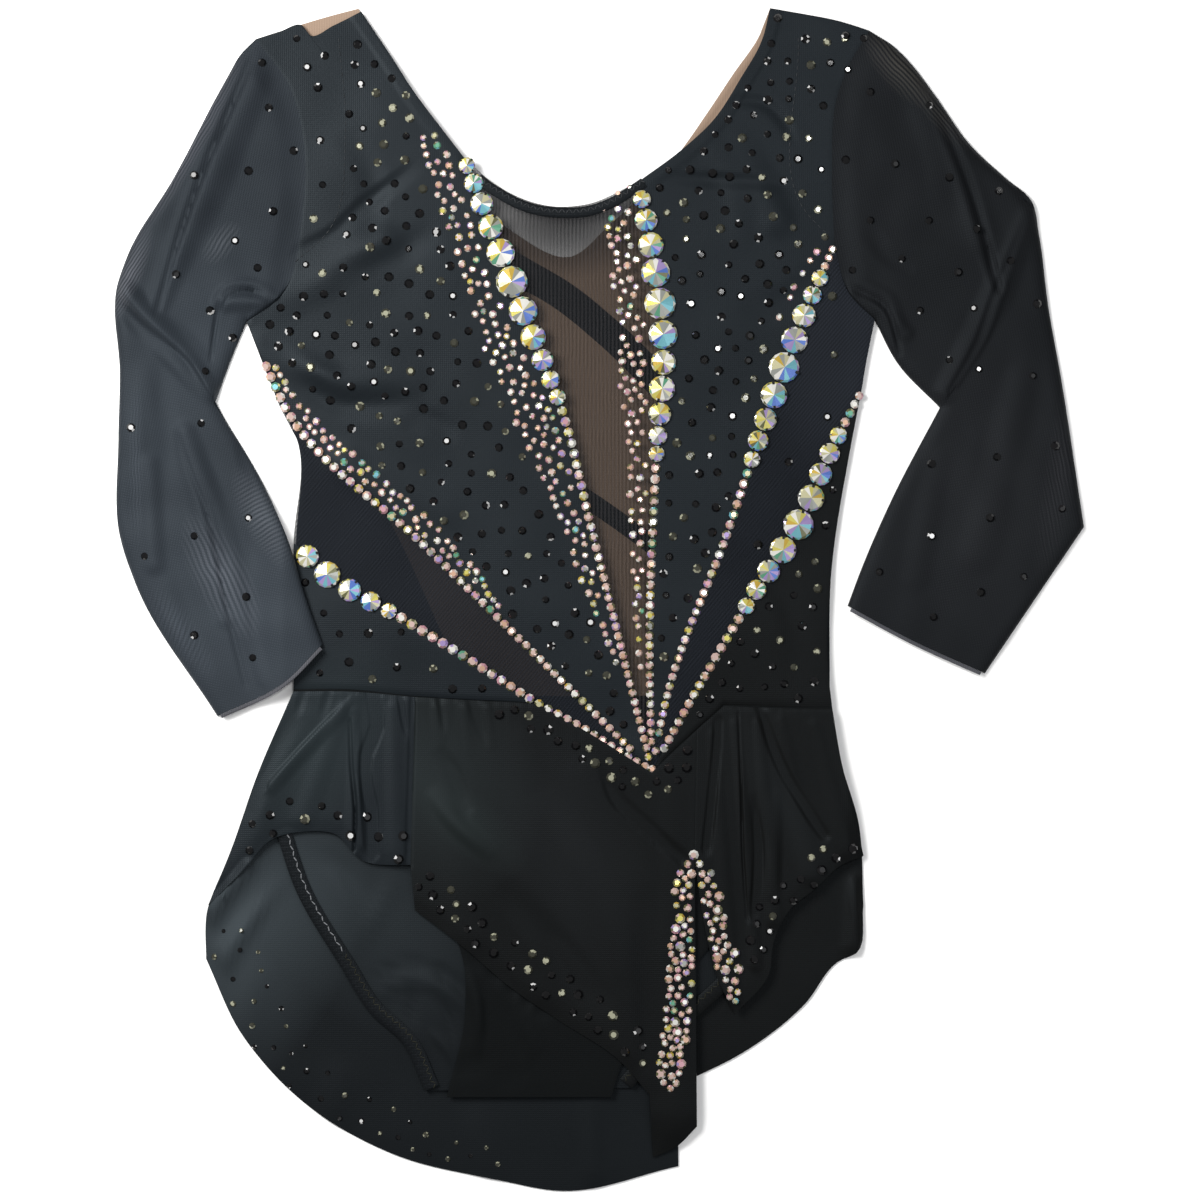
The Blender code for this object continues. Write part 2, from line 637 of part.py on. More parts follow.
def front_skirt():
    pieces = {
        "skirt_front_left": (
            sampled([(-136, -41), (-152, -78), (-164, -112), (-174, -136)], 8),
            seam("skirt_left_pleat"),
            sampled([(-136, -41), (-112, -41), (-82, -43.5)], 18),
            sampled(
                [(-174, -136), (-157, -119), (-146, -107), (-130, -103), (-118, -104), (-105, -116), (-84, -118)],
                18,
            ),
        ),
        "skirt_front_centre": (
            chain(seam("skirt_left_pleat"), straight((-84, -118), (-82, -138), 2)),
            chain(seam("skirt_right_pleat"), straight((42, -116), (43, -234), 5)),
            chain(
                sampled([(-82, -43.5), (-28, -46.5)], 9),
                sampled([(-28, -46.5), (-8, -57.6), (23, -77)], 5),
                straight((23, -77), (43, -58), 5),
            ),
            chain(
                sampled([(-82, -138), (-61, -154), (-40, -172), (-18, -187), (9, -205), (22, -220)], 14),
                straight((22, -220), (23.5, -248), 1),
                sampled([(23.5, -248), (34, -243), (43, -234)], 4),
            ),
        ),
        "skirt_front_right": (
            chain(seam("skirt_right_pleat"), sampled([(42, -116), (60, -184)], 5)),
            sampled([(103, -48.6), (107, -72), (112, -92), (117, -114)], 10),
            chain(straight((43, -58), (55, -47.5), 4), sampled([(55, -47.5), (89, -48.6), (103, -48.6)], 14)),
            sampled(
                [(60, -184), (75, -166), (77, -152), (84, -138), (96, -128), (107, -118), (117, -114)], 18
            ),
        ),
    }
    for name, edges in pieces.items():
        cloth(name, patch(*edges), front_skirt_under, LYCRA)


def clear_scene():
    for obj in list(bpy.data.objects):
        bpy.data.objects.remove(obj, do_unlink=True)


def main():
    clear_scene()
    back_skirt()
    back_panels()
    back_bands()
    briefs()
    leg_bindings()
    front_skirt()
    front_panels()
    neck_binding()
    sleeves()
    for name, row in STONE_ROWS.items():
        stone_row(name, *row)


main()
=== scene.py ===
"""Detailed look of a child's competition leotard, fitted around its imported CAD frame.

Sizes are in millimetres until an object is made: X to the right of the photograph,
Y towards the neck, Z up from the table. Each cut piece is a thin closed cloth over the
place of its CAD node, with finer folds, and stands for that node. Six rays of stones run
from the point of the V, lettered a to f from the left waist round to the right side.
"""

import math

import bmesh
import bpy
import numpy as np
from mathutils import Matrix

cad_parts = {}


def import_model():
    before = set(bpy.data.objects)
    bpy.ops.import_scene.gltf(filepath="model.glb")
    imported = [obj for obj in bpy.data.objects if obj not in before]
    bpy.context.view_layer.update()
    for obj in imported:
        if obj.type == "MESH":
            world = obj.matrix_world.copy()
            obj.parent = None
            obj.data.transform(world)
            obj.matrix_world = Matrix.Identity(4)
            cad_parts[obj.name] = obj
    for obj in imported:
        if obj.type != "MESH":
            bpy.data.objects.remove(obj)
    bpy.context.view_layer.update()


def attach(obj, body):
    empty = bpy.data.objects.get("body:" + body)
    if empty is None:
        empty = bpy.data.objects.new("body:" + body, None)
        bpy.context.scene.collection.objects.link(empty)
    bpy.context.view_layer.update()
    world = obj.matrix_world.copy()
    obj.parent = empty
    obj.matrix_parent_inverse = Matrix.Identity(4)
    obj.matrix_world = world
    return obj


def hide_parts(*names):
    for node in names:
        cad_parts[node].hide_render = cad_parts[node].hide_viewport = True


MM = 0.001

# Sizes that the CAD model has too
LAYER = 1.5
SLEEVE_RISE = 2.6
DOME_RISE = 3.0
DOME_HALF_WIDTH = 125.0
DOME_CENTRE_X = -16.0
BINDING_WIDTH = 6.5
NECK_BINDING_WIDTH = 4.6
TIP_START = 0.6
UNDERARM_STEPS = 2
CENTRE_X = -0.26
CENTRE_Y = -0.25

# Thin cloth: how far its top lies above the underside of the CAD wall, the thickness of
# cloth, mesh and bands, and how much their rims are rounded
CLOTH_TOP = 0.9
CLOTH = 0.5
MESH = 0.4
RIBBON = 0.8
RIM_SOFTNESS = 0.12

# Heights of upper faces above the table, rises above the cloth below, and the lift of
# the left cuff's inner corner
BACK_TOP = 0.68
BACK_SKIRT_TOP = 0.75
BACK_BRIEF_TOP = 2.3
LEG_BINDING_TOP = 3.5
FRONT_BRIEF_TOP = 3.7
BAND_RISE = 0.55
NECK_BINDING_RISE = 0.7
CUFF_EDGE_RISE = 0.25
LEFT_CUFF_LIFT = 5.0

# Unevenness of each cloth: a seed, its shortest and longest wave, and its height
UNEVEN = {
    "bodice": (3, 20, 70, 0.22),
    "front_skirt": (5, 24, 80, 0.25),
    "back_skirt": (7, 30, 90, 0.10),
    "back": (8, 30, 80, 0.04),
    "back_brief": (9, 22, 60, 0.10),
    "front_brief": (10, 22, 60, 0.08),
    "sleeve_left": (11, 16, 55, 0.30),
    "sleeve_right": (12, 16, 55, 0.30),
}
WAVES = 16

# Rows and columns for each step of the CAD grid
FINE = 8
SLEEVE_FINE = 9
HIDDEN_FINE = 4

# The groove of a seam, the turned edge of the neck, and the rounding of a sleeve's folds
SEAM_DIP = 0.35
SEAM_DIP_WIDTH = 1.3
CASING_WIDTH = 5.2
CASING_RISE = 0.35
CASING_STEP = 0.7
EDGE_ROUNDING = 6.0

# A sleeve's tube: its underside, its height and half thickness at the folded edges, how
# far its inner layer stays inside them, and the distance in which it meets the bodice
SLEEVE_UNDER = 0.15
SLEEVE_EDGE = 0.9
SLEEVE_EDGE_HALF = 0.3
SLEEVE_INNER_HALF = 0.1
SLEEVE_NARROWING = 0.6
ARMHOLE_BLEND = 12

# How much of the CAD model's broad folds the thin cloth shows
FOLD_SOFTENING = 0.25
SLEEVE_SOFTENING = {"left": 0.8, "right": 0.4}

STONE_SEED = 41
SHARP_ANGLE = 55

CAMERA_HEIGHT = 2.0
CAMERA_LENS = 135.0
SENSOR_WIDTH = 36.0
CAMERA_AT = (0.00026, -0.00019)
FLOOR_HALF = 3.0
FLOOR_LEVEL = -0.0002
WORLD_STRENGTH = 0.32

# Lights: place, size, power and colour
LIGHTS = {
    "key": ((-0.55, 0.36, 0.72), 0.45, 13.5, (1.0, 0.99, 0.97)),
    "fill": ((0.9, -0.3, 1.6), 1.2, 5.0, (0.95, 0.97, 1.0)),
    "spark": ((0.3, 0.45, 2.2), 0.2, 9.0, (1.0, 1.0, 1.0)),
}

V_POINT = (23, -76)
WAIST_LEFT_JOIN = (-28, -46)
WAIST_RIGHT_JOIN = (55, -47)

# Each seam: steps along it in the CAD model, and the points that its curve passes through
SEAMS = {
    "ray_a_inner": (3, [V_POINT, (11, -69), (-8, -57), WAIST_LEFT_JOIN]),
    "ray_a_outer": (7, [WAIST_LEFT_JOIN, (-53, -30), (-87, -9), (-120, 10), (-136, 25)]),
    "ray_b": (10, [V_POINT, (3, -56), (-77, 23), (-139, 84), (-149, 105)]),
    "ray_c": (12, [V_POINT, (14, -40), (-4, 32), (-17, 84), (-30, 117), (-45, 156), (-60.5, 196)]),
    "ray_d": (12, [V_POINT, (22, -18), (25, 64), (28, 116), (25, 142), (17, 185)]),
    "ray_e": (12, [V_POINT, (30, -42), (56, 28), (78, 93), (91, 127), (104, 157)]),
    "ray_f": (10, [V_POINT, (46, -35), (68, 2), (89, 35), (102, 65), (116, 92)]),
    "v_right": (4, [V_POINT, WAIST_RIGHT_JOIN]),
    "waist_left": (7, [WAIST_LEFT_JOIN, (-82, -43), (-112, -40), (-136, -40)]),
    "waist_right": (6, [WAIST_RIGHT_JOIN, (89, -48), (103, -48)]),
    "neck_left": (9, [(-60.5, 196), (-70.5, 209), (-81.8, 224), (-93.3, 241.8), (-106, 260.8)]),
    "neck_right": (7, [(17, 185), (35.6, 198.7), (50.7, 212.9), (62.2, 230.7), (72, 248.4), (75.5, 262.3)]),
    "armhole_left": (10, [(-157, 123), (-142, 134), (-132, 171), (-131, 198), (-138, 228), (-153, 248.5)]),
    "armhole_right_lower": (3, [(122, 124), (111, 135), (104, 157)]),
    "armhole_right_upper": (7, [(104, 157), (103, 190), (105, 222), (110, 236), (119.6, 252.4)]),
    "side_left_armpit": (1, [(-149, 105), (-157, 123)]),
    "side_right_armpit": (2, [(116, 92), (118, 104), (122, 124)]),
    "skirt_left_pleat": (8, [(-82, -43.5), (-84, -118)]),
    "skirt_right_pleat": (5, [(43, -58), (42, -116)]),
}

# Middle line of the binding on the neck edge of the centre mesh
NECK_BINDING = [
    (-54, 186.5), (-49.5, 182.8), (-45.5, 180.3), (-38, 176), (-29.5, 172.8), (-17, 171.2), (-5, 172),
    (6, 176), (12, 179.6), (16, 182.2), (19.5, 184.6),
]

# Top edges of the front: at the left it dips, and the nude back shows past it
SHOULDER_LEFT_FRONT = [
    (-153, 248.5), (-142, 252), (-132.5, 254.8), (-128.7, 250.2), (-118, 254.8), (-106, 260.8),
]
SHOULDER_LEFT_BACK = [(-153, 248.5), (-142, 252.3), (-131.6, 255.6), (-119, 259.3), (-107.3, 262.3)]
SHOULDER_RIGHT = [(75.5, 262.3), (89, 260), (106.7, 256.4), (119.6, 252.4)]

# The broad folds that the CAD model has too
FOLD_COLUMNS = ("x0", "y0", "x1", "y1", "width0", "width1", "rise0", "rise1")
BODICE_FOLDS = [
    (-150, 112, -118, 96, 22, 26, 1.6, 2.2),
    (-118, 96, -84, 98, 26, 22, 2.2, 0.6),
    (-140, 132, -96, 158, 22, 26, 0.6, 1.8),
    (-112, 60, -70, 40, 26, 26, 1.4, 0.6),
    (62, 200, 78, 168, 24, 22, 0.6, 1.6),
]
SKIRT_FRONT_FOLDS = [
    (-130, -52, -164, -122, 14, 22, 1.0, 3.2),
    (-114, -48, -132, -98, 10, 16, 1.8, 2.4),
    (-109, -50, -109, -112, 7, 11, 2.0, 4.2),
    (-92, -48, -90, -118, 9, 14, 2.2, 4.4),
    (-72, -48, -70, -66, 8, 9, 2.8, 0.6),
    (-60, -48, -58, -68, 7, 8, 2.6, 0.6),
    (-50, -48, -48, -64, 6, 7, 2.2, 0.6),
    (-66, -70, -60, -148, 24, 30, 0.8, 3.2),
    (-34, -64, -28, -174, 22, 30, 0.8, 3.4),
    (-6, -78, 10, -130, 26, 30, 1.4, 2.4),
    (10, -130, 12, -200, 30, 22, 2.4, 2.6),
    (32, -80, 34, -236, 16, 18, 1.0, 3.6),
    (50, -60, 59, -176, 8, 12, 1.6, 4.2),
    (60, -55, 69, -162, 7, 9, 2.0, 4.0),
    (70, -55, 78, -142, 7, 12, 1.8, 3.8),
    (80, -54, 94, -122, 9, 16, 1.8, 3.6),
    (95, -56, 110, -112, 9, 12, 1.6, 3.2),
]
SKIRT_BACK_FOLDS = [
    (-156, -118, -172, -140, 9, 13, 1.0, 2.6),
    (-150, -136, -166, -160, 9, 14, 1.0, 2.6),
    (113, -126, 112, -156, 8, 10, 1.0, 2.6),
]
SLEEVE_LEFT_FOLDS = [
    (-211, 137, -193, 114, 14, 18, 3.2, 3.8),
    (-193, 114, -172, 90, 18, 14, 3.8, 3.0),
    (-148, 240, -172, 186, 16, 22, 1.6, 2.6),
    (-172, 186, -198, 128, 22, 14, 2.6, 1.4),
    (-167, 132, -150, 132, 12, 10, 2.4, 2.4),
    (-184, 74, -176, 44, 14, 20, 2.2, 3.0),
    (-176, 44, -166, -8, 20, 14, 3.0, 1.6),
    (-200, 60, -198, 16, 12, 14, 1.2, 2.2),
]
SLEEVE_RIGHT_FOLDS = [
    (191, 172, 177, 137, 12, 18, 2.8, 4.0),
    (177, 137, 153, 92, 18, 14, 4.0, 3.2),
    (150, 218, 170, 160, 18, 22, 1.6, 2.8),
    (120, 134, 136, 118, 12, 10, 2.2, 2.8),
    (186, 96, 168, 20, 20, 24, 2.0, 2.6),
    (150, 62, 140, 10, 16, 18, 1.4, 2.2),
]

# Finer creases, ridges where they rise and troughs where they fall: the rise at the
# start, middle and end, the half width on the left and right of the way that it runs,
# and the points of its curve
CREASE_COLUMNS = ("start", "middle", "end", "left", "right", "points")
BODICE_CREASES = [
    (-0.5, -1.1, 0, 3, 5, [(61, 222), (74, 220), (83, 211), (87, 201)]),
    (0, -1.1, 0, 4, 6, [(28, 187), (58, 186), (89, 184)]),
    (-0.4, -1.2, 0, 4, 7, [(-134, 155), (-118, 163), (-107, 174), (-92, 185), (-80, 194)]),
    (-0.4, -1.5, -0.3, 8, 8, [(-156, 120), (-138, 104), (-120, 89), (-80, 86)]),
    (0, -1.1, 0, 9, 9, [(-120, 142), (-98, 150), (-71, 164)]),
    (0, 1.0, 0, 6, 10, [(-150, 111), (-133, 102), (-113, 99)]),
    (0, -0.8, 0, 7, 7, [(-89, 77), (-76, 80), (-63, 71)]),
    (0, -0.9, 0, 10, 10, [(104, 150), (84, 133), (62, 128)]),
    (0, 0.8, 0, 9, 9, [(44, 208), (60, 182), (63, 151)]),
    (0, -0.8, 0, 9, 9, [(-113, 208), (-101, 186), (-104, 160)]),
    (0, 0.8, 0, 9, 9, [(-113, 57), (-89, 35), (-58, 17)]),
    (0, -0.7, 0, 9, 9, [(71, 17), (84, -5), (89, -36)]),
]
SKIRT_FRONT_CREASES = [
    (0.2, 1.3, 0.8, 6, 2.2, [(-109, -43), (-127, -61), (-146, -82)]),
    (0, -0.7, -0.4, 8, 8, [(-134, -50), (-146, -68), (-156, -92)]),
    (-0.6, -1.7, -1.5, 1.0, 1.5, [(-110.8, -54), (-110, -75), (-108.4, -95), (-109, -111)]),
    (-1.6, -2.6, -2.2, 3.0, 5.0, [
        (-100, -42), (-98, -58), (-103, -69), (-103.5, -80), (-101, -90), (-100, -113),
    ]),
    (0, 0.8, 0.6, 1.8, 2.0, [(-106.5, -56), (-106.8, -80), (-105.5, -110)]),
    (-0.9, -0.9, 0, 1.8, 2.2, [(-88.6, -43), (-87, -53), (-85, -63)]),
    (-0.9, -1.2, -1.0, 1.0, 3.0, [(-82.6, -45), (-83.2, -80), (-84.4, -118)]),
    (-0.9, -0.8, 0, 2.2, 2.4, [(-71, -45), (-70, -52), (-69, -60)]),
    (0, -1.1, -0.6, 5, 7, [(-72, -66), (-65, -76), (-59, -92)]),
    (0, 1.4, 0.4, 7, 5, [(-76, -84), (-66, -98), (-50, -112)]),
    (-0.6, -0.6, 0, 3, 4, [(-56, -46), (-53, -56), (-50, -66)]),
    (-0.5, -0.5, 0, 3, 3, [(-132, -43), (-134, -52)]),
    (-0.5, -0.5, 0, 3, 3, [(-121, -43), (-123, -53)]),
    (-0.4, -2.0, -1.2, 6, 2.2, [(1.3, -78), (5.3, -88.4), (15.6, -98.7), (27.6, -109.3), (36, -116)]),
    (-0.8, -2.2, -1.6, 3.2, 2.8, [(52.3, -54), (51, -74), (49.7, -88), (47, -111)]),
    (-0.3, -1.0, -0.8, 0.9, 1.3, [(61.4, -50), (62.7, -83), (63.5, -114), (65.3, -142)]),
    (0, -1.6, -1.2, 3, 3.4, [(68, -86), (70.6, -114), (68, -140)]),
    (0, 1.0, 0.4, 4, 6, [(77, -84), (78, -110), (77, -130)]),
    (-0.6, -1.9, -1.0, 3.6, 3.2, [(70.7, -48), (78.4, -70), (91.5, -93.5), (99.4, -105)]),
    (0, -1.0, 0, 10, 10, [(-44, -125), (-18, -156), (4, -183)]),
    (0, 0.9, 0, 11, 11, [(-27, -85), (-4, -125), (11, -172)]),
    (0, -0.8, -0.4, 9, 9, [(20, -125), (20, -160), (22, -205)]),
]
SKIRT_BACK_CREASES = [
    (0.4, 1.6, 1.6, 5, 8, [(-146, -107), (-160, -123), (-173, -137)]),
    (0.4, 1.4, 1.4, 5, 8, [(-140, -125), (-153, -140), (-167, -156)]),
    (0, 1.0, 0.8, 12, 12, [(-150, -160), (-156, -178), (-158, -194)]),
    (0, 1.0, 0.6, 12, 12, [(-116, -205), (-118, -223), (-120, -236)]),
    (0, 1.0, 0.8, 12, 12, [(-58, -223), (-53, -240), (-49, -256)]),
    (0, 1.2, 1.2, 6, 6, [(-4, -218), (-4, -236), (-2, -258)]),
    (0.6, 1.6, 1.2, 6, 4, [(112, -125), (114, -143), (115, -160)]),
]
BRIEF_BACK_CREASES = [
    (0.3, 1.8, 0.6, 3, 6, [(-101, -176), (-92, -169), (-80, -168), (-68, -173), (-60, -181)]),
    (-0.4, -1.8, -0.7, 2.0, 2.4, [(-100, -171), (-90, -164.5), (-78, -163.5), (-66, -168), (-58, -176)]),
    (0, -1.4, 0, 2.4, 2.4, [(-84, -172), (-83, -180), (-86, -190)]),
    (0, -1.3, 0, 2.0, 2.4, [(-72, -178), (-67, -186), (-66, -196)]),
    (0, 1.1, 0.2, 4, 8, [(-88, -121), (-98, -139), (-108, -156)]),
    (0, 0.9, 0, 3, 4, [(-76, -192), (-68, -199), (-64, -208)]),
    (0, 0.9, 0, 8, 8, [(-120, -120), (-111, -136), (-110, -149)]),
    (0, 0.8, 0, 5, 6, [(-91, -183), (-82, -194), (-76, -205)]),
    (0, -1.0, 0, 3, 4, [(-131, -113), (-120, -115), (-112, -122), (-108, -134)]),
]
BRIEF_FRONT_CREASES = [
    (-0.5, -1.8, -0.5, 2.2, 3.2, [(-59, -158), (-50, -163), (-38, -171), (-21, -185)]),
    (0, 1.6, 0.4, 3, 6, [(-59, -163), (-54, -178), (-53, -198)]),
    (0, 0.9, 0, 4, 5, [(-38, -180), (-31, -192), (-28, -205)]),
    (0, -1.0, -0.4, 3, 3, [(-68, -205), (-52, -209), (-34, -211)]),
]
SLEEVE_LEFT_CREASES = [
    (0, 0.9, 0.3, 9, 7, [(-156, 236), (-166, 212), (-176, 186), (-187, 158), (-197, 133)]),
    (-0.8, -2.3, -1.0, 1.8, 3.6, [
        (-154, 240), (-163, 219), (-173, 196), (-182, 173), (-189, 152), (-196, 128),
    ]),
    (-0.5, -0.9, -0.8, 1.4, 1.8, [
        (-147.3, 241.3), (-138.8, 231), (-133, 211), (-131.6, 191), (-133, 171), (-135, 150), (-141, 134),
    ]),
    (0.6, 1.6, 0.6, 9, 4, [(-213, 139), (-206, 130), (-196, 121), (-183, 110), (-173, 92)]),
    (-0.4, -2.4, -1.0, 2.2, 7, [(-213.5, 135), (-207, 126), (-197, 117), (-184, 106), (-173, 89)]),
    (0.2, 1.1, 0.5, 2.4, 3.0, [(-172, 130), (-167, 138), (-157, 140.5), (-149, 138), (-142, 131)]),
    (-0.3, -1.3, -0.9, 1.4, 1.8, [(-168.5, 128), (-164, 134.5), (-156, 136.8), (-149, 134), (-143, 128)]),
    (-0.4, -1.2, -0.3, 1.4, 2.0, [(-169, 132), (-170.5, 122), (-172.5, 106)]),
    (0, -1.5, -0.5, 1.6, 2.6, [(-187, 75), (-182, 58), (-176, 44), (-170, 22), (-165, -5), (-157, -38)]),
    (0, 1.0, 0.4, 6, 4, [(-181, 74), (-176, 57), (-170, 44), (-164, 23), (-160, -5), (-150, -36)]),
    (0, 0.8, 0, 9, 9, [(-200, 111), (-204, 84), (-205, 53)]),
    (0, -0.8, 0, 7, 7, [(-196, 106), (-192, 75), (-193, 35)]),
    (0, -0.8, 0, 5, 5, [(-150, 92), (-158, 76), (-156, 52)]),
    (0, 0.7, 0, 6, 6, [(-156, 80), (-150, 57), (-147, 26)]),
    (0, 0.8, 0, 7, 7, [(-196, 17), (-188, -9), (-180, -32)]),
    (0, -0.9, -0.3, 4, 4, [(-205, 12), (-195, -12), (-183, -36)]),
]
SLEEVE_RIGHT_CREASES = [
    (0.2, 0.8, 0.4, 9, 3, [(147, 218), (158, 188), (165, 165), (174, 139)]),
    (-0.8, -2.6, -1.8, 2.8, 4.0, [(149.5, 219), (157, 201), (164, 184), (169.5, 166), (177, 138)]),
    (0.3, 0.9, 0.5, 2.4, 12, [(192, 172), (186, 158), (179, 138), (171, 116), (158, 95)]),
    (-0.3, -1.1, -0.6, 5, 2, [(190, 171), (183, 155), (175, 136), (167, 114), (155, 92)]),
    (0.2, 0.7, 0.3, 4, 3, [(111, 142), (119, 139.5), (128, 134), (134, 122)]),
    (-0.6, -1.5, -0.7, 2.4, 2.2, [(109, 139), (117, 135.5), (126, 130), (131, 119), (133, 109)]),
    (-0.4, -1.2, -0.5, 1.8, 1.8, [(104.5, 156), (107, 146), (111, 134)]),
    (0, -0.9, 0, 6, 6, [(118, 166), (128, 152), (140, 146)]),
    (0, 0.5, 0, 10, 10, [(191, 120), (187, 88), (183, 57)]),
    (0, -0.4, 0, 9, 9, [(171, 97), (173, 66), (171, 35)]),
    (0, 0.7, 0, 8, 8, [(133, 240), (147, 204), (153, 168)]),
]

# Large stones of each ray, as in the CAD model: the distance of the first stone from
# the ray's outer end, the gap between two stones, and the diameters inwards
LARGE_ROWS = {
    "a": (8.6, 1.1, (10.2, 11.8, 10.2, 8.9, 7.1)),
    "c": (4.2, 0.35, (7.4, 8.7, 10.2, 11.1, 12.7, 14.1, 12.9, 11.4, 9.8, 8.4, 7.4)),
    "d": (8.0, 0.35, (8.0, 10.2, 11.4, 12.9, 14.0, 12.9, 11.1, 11.6, 10.2, 8.4, 7.1)),
    "e": (16.0, 0.35, (7.5, 8.4, 10.5, 11.9, 13.6, 11.9, 10.2, 9.2, 7.5)),
    "f": (22.0, 0.35, (7.8, 9.2, 10.2, 11.9, 13.6, 11.9, 10.2, 8.9, 7.5)),
}

# Small stones in a row along each ray: from and to a distance from its outer end, and
# the diameters at both. No start means after the last large stone, no end the V
SMALL_ROW_COLUMNS = ("ray", "start", "end", "first", "last")
SMALL_ROWS = [
    ("a", 2.3, 3.0, 4.2, 4.2),
    ("a", None, None, 5.0, 3.8),
    ("b", 2.0, None, 4.6, 3.7),
    ("c", None, None, 4.5, 3.6),
    ("d", None, None, 4.4, 3.6),
    ("e", 2.0, 12.5, 3.6, 4.0),
    ("e", None, None, 4.4, 3.6),
    ("f", 2.0, 18.5, 3.8, 4.6),
    ("f", None, None, 4.6, 3.8),
]
SMALL_GAP = 0.45

# Clouds of small stones along one side of a ray: the side, left or right of the way
# inwards, the room between stones, then the distance from the ray's outer end, and the
# nearest and farthest distance from its line there
CLOUD_COLUMNS = ("ray", "side", "room", "rows")
CLOUDS = [
    ("b", 1, 1.10, [
        (3, 2.5, 3.5), (23, 2.5, 7.5), (50, 2.5, 10), (90, 2.5, 10), (120, 2.5, 9.5), (143, 2.5, 7),
        (152, 2.5, 4),
    ]),
    ("c", -1, 1.22, [
        (-16, 9, 15), (0, 4, 17), (42, 5, 18), (81, 5, 22), (119, 3, 21), (144, 3, 17), (151, 3, 15),
        (174, 3, 12), (196, 3, 10), (212, 3, 8), (227, 3, 5), (237, 3, 3.6),
    ]),
    ("d", -1, 1.20, [
        (2, 4, 17), (21, 5, 19), (57, 5, 20), (90, 4, 19), (110, 3, 15), (126, 3, 12), (146, 3, 10.5),
        (166, 3, 9), (192, 3, 7), (210, 3, 5), (222, 3, 3.6),
    ]),
    ("e", -1, 1.5, [(2, 2, 6), (16, 4, 9), (40, 4, 10), (62, 4, 9), (84, 3, 6)]),
]

# Bands of scattered stones: the mix of stones, the room between them, the skirt panel
# that they stay on, and x, y and half width at points along the band
BANDS = {
    "slit_left": ("slit", 0.97, "skirt_front_centre", [
        (39.6, -119, 2.2), (37.6, -124, 4.4), (37.6, -136, 4.6), (36.8, -150, 5.4), (36.2, -162, 5.4),
        (34.9, -174, 5.4), (34.0, -187, 5.4), (32.2, -200, 5.2), (30.5, -209, 4.8), (31.0, -218, 2.6),
    ]),
    "slit_right": ("slit", 0.97, "skirt_front_right", [
        (46.6, -120, 3.4), (48.2, -128, 4.2), (49.8, -136, 4.0), (51.2, -143, 4.2),
        (53.0, -151, 4.4), (55.4, -159, 5.0), (57.6, -166, 4.6), (58.6, -174, 3.4), (59.4, -180, 1.8),
    ]),
    "under_v": ("dark", 1.5, "skirt_front_centre", [
        (-46, -49, 2.0), (-29, -54, 4.0), (-12, -64, 4.0), (4, -73, 4.4), (14, -81, 4.4), (23, -86, 3.0),
        (30, -80, 4.0), (38, -70, 4.0), (46, -60, 4.0), (55, -54, 3.6),
    ]),
    "hem_left": ("dark", 2.1, "skirt_front_left", [
        (-160, -109, 6.2), (-142, -96, 7.1), (-120, -94, 6.2), (-100, -105, 6.2), (-85, -112, 5.3),
    ]),
    "hem_centre": ("dark", 1.7, "skirt_front_centre", [
        (-78, -125, 4.4), (-62, -140, 6.2), (-40, -158, 7.1), (-18, -172, 7.1), (0, -185, 6.2),
        (18, -198, 6.2), (24, -209, 3.6),
    ]),
    "hem_right": ("dark", 1.7, "skirt_front_right", [
        (68, -160, 5.3), (76, -136, 7.1), (91, -125, 7.1), (104, -115, 6.2), (113, -111, 3.6),
    ]),
    "hem_back": ("faint", 3.6, "skirt_back_left", [
        (-165, -145, 9.0), (-157, -180, 12.0), (-138, -205, 10.0), (-112, -224, 8.0), (-80, -240, 6.0),
        (-44, -250, 5.0),
    ]),
}

# The stones that join the two arms above the slit
SLIT_TOP_STONES = [
    (41.6, -113.4, 4.6), (38.9, -117.6, 3.8), (44.2, -117.4, 3.5), (35.6, -121.4, 3.5), (40.6, -121.8, 4.2),
    (49.2, -121.4, 3.5), (45.4, -121.8, 3.5),
]

# Each mix: diameters, and the chance of each kind of stone
MIXES = {
    "small": ((2.9, 3.3, 3.6), {"pearly": 1.0}),
    "slit": ((3.1, 3.4, 3.8, 4.6), {"pearly": 1.0}),
    "dark": ((3.6, 4.1, 4.6), {"jet": 0.74, "smoke": 0.26}),
    "faint": ((2.0, 2.4, 2.8), {"smoke": 0.6, "jet": 0.4}),
}

# Dark stones over whole panels: the distance between them, which is spread as below,
# their diameters, and how far they stay inside a panel's edge
DARK_PANELS = {
    "chest_left": 9.6, "chest_right": 9.2, "side_left": 13.0, "side_right": 10.0, "mesh_right": 26.0,
}
DARK_SIZES = (3.3, 3.8, 4.2)
DARK_SPREADS = (0.8, 1.05, 1.5)
DARK_MARGIN = 3.6

# Near the left shoulder they lie farther apart: left of x, above y, and how much
QUIET_SHOULDER = (-112, 150, 1.7)

# Tries for each millimetre of a cloud, each square millimetre of a band, and the area
# for one try on a panel
CLOUD_TRIES = 60
BAND_TRIES = 22
PANEL_AREA_FOR_TRY = 3

# How far a cloud can start before its ray, and its distance from the neck's edge
CLOUD_REACH = 20
NECK_MARGIN = 2.6

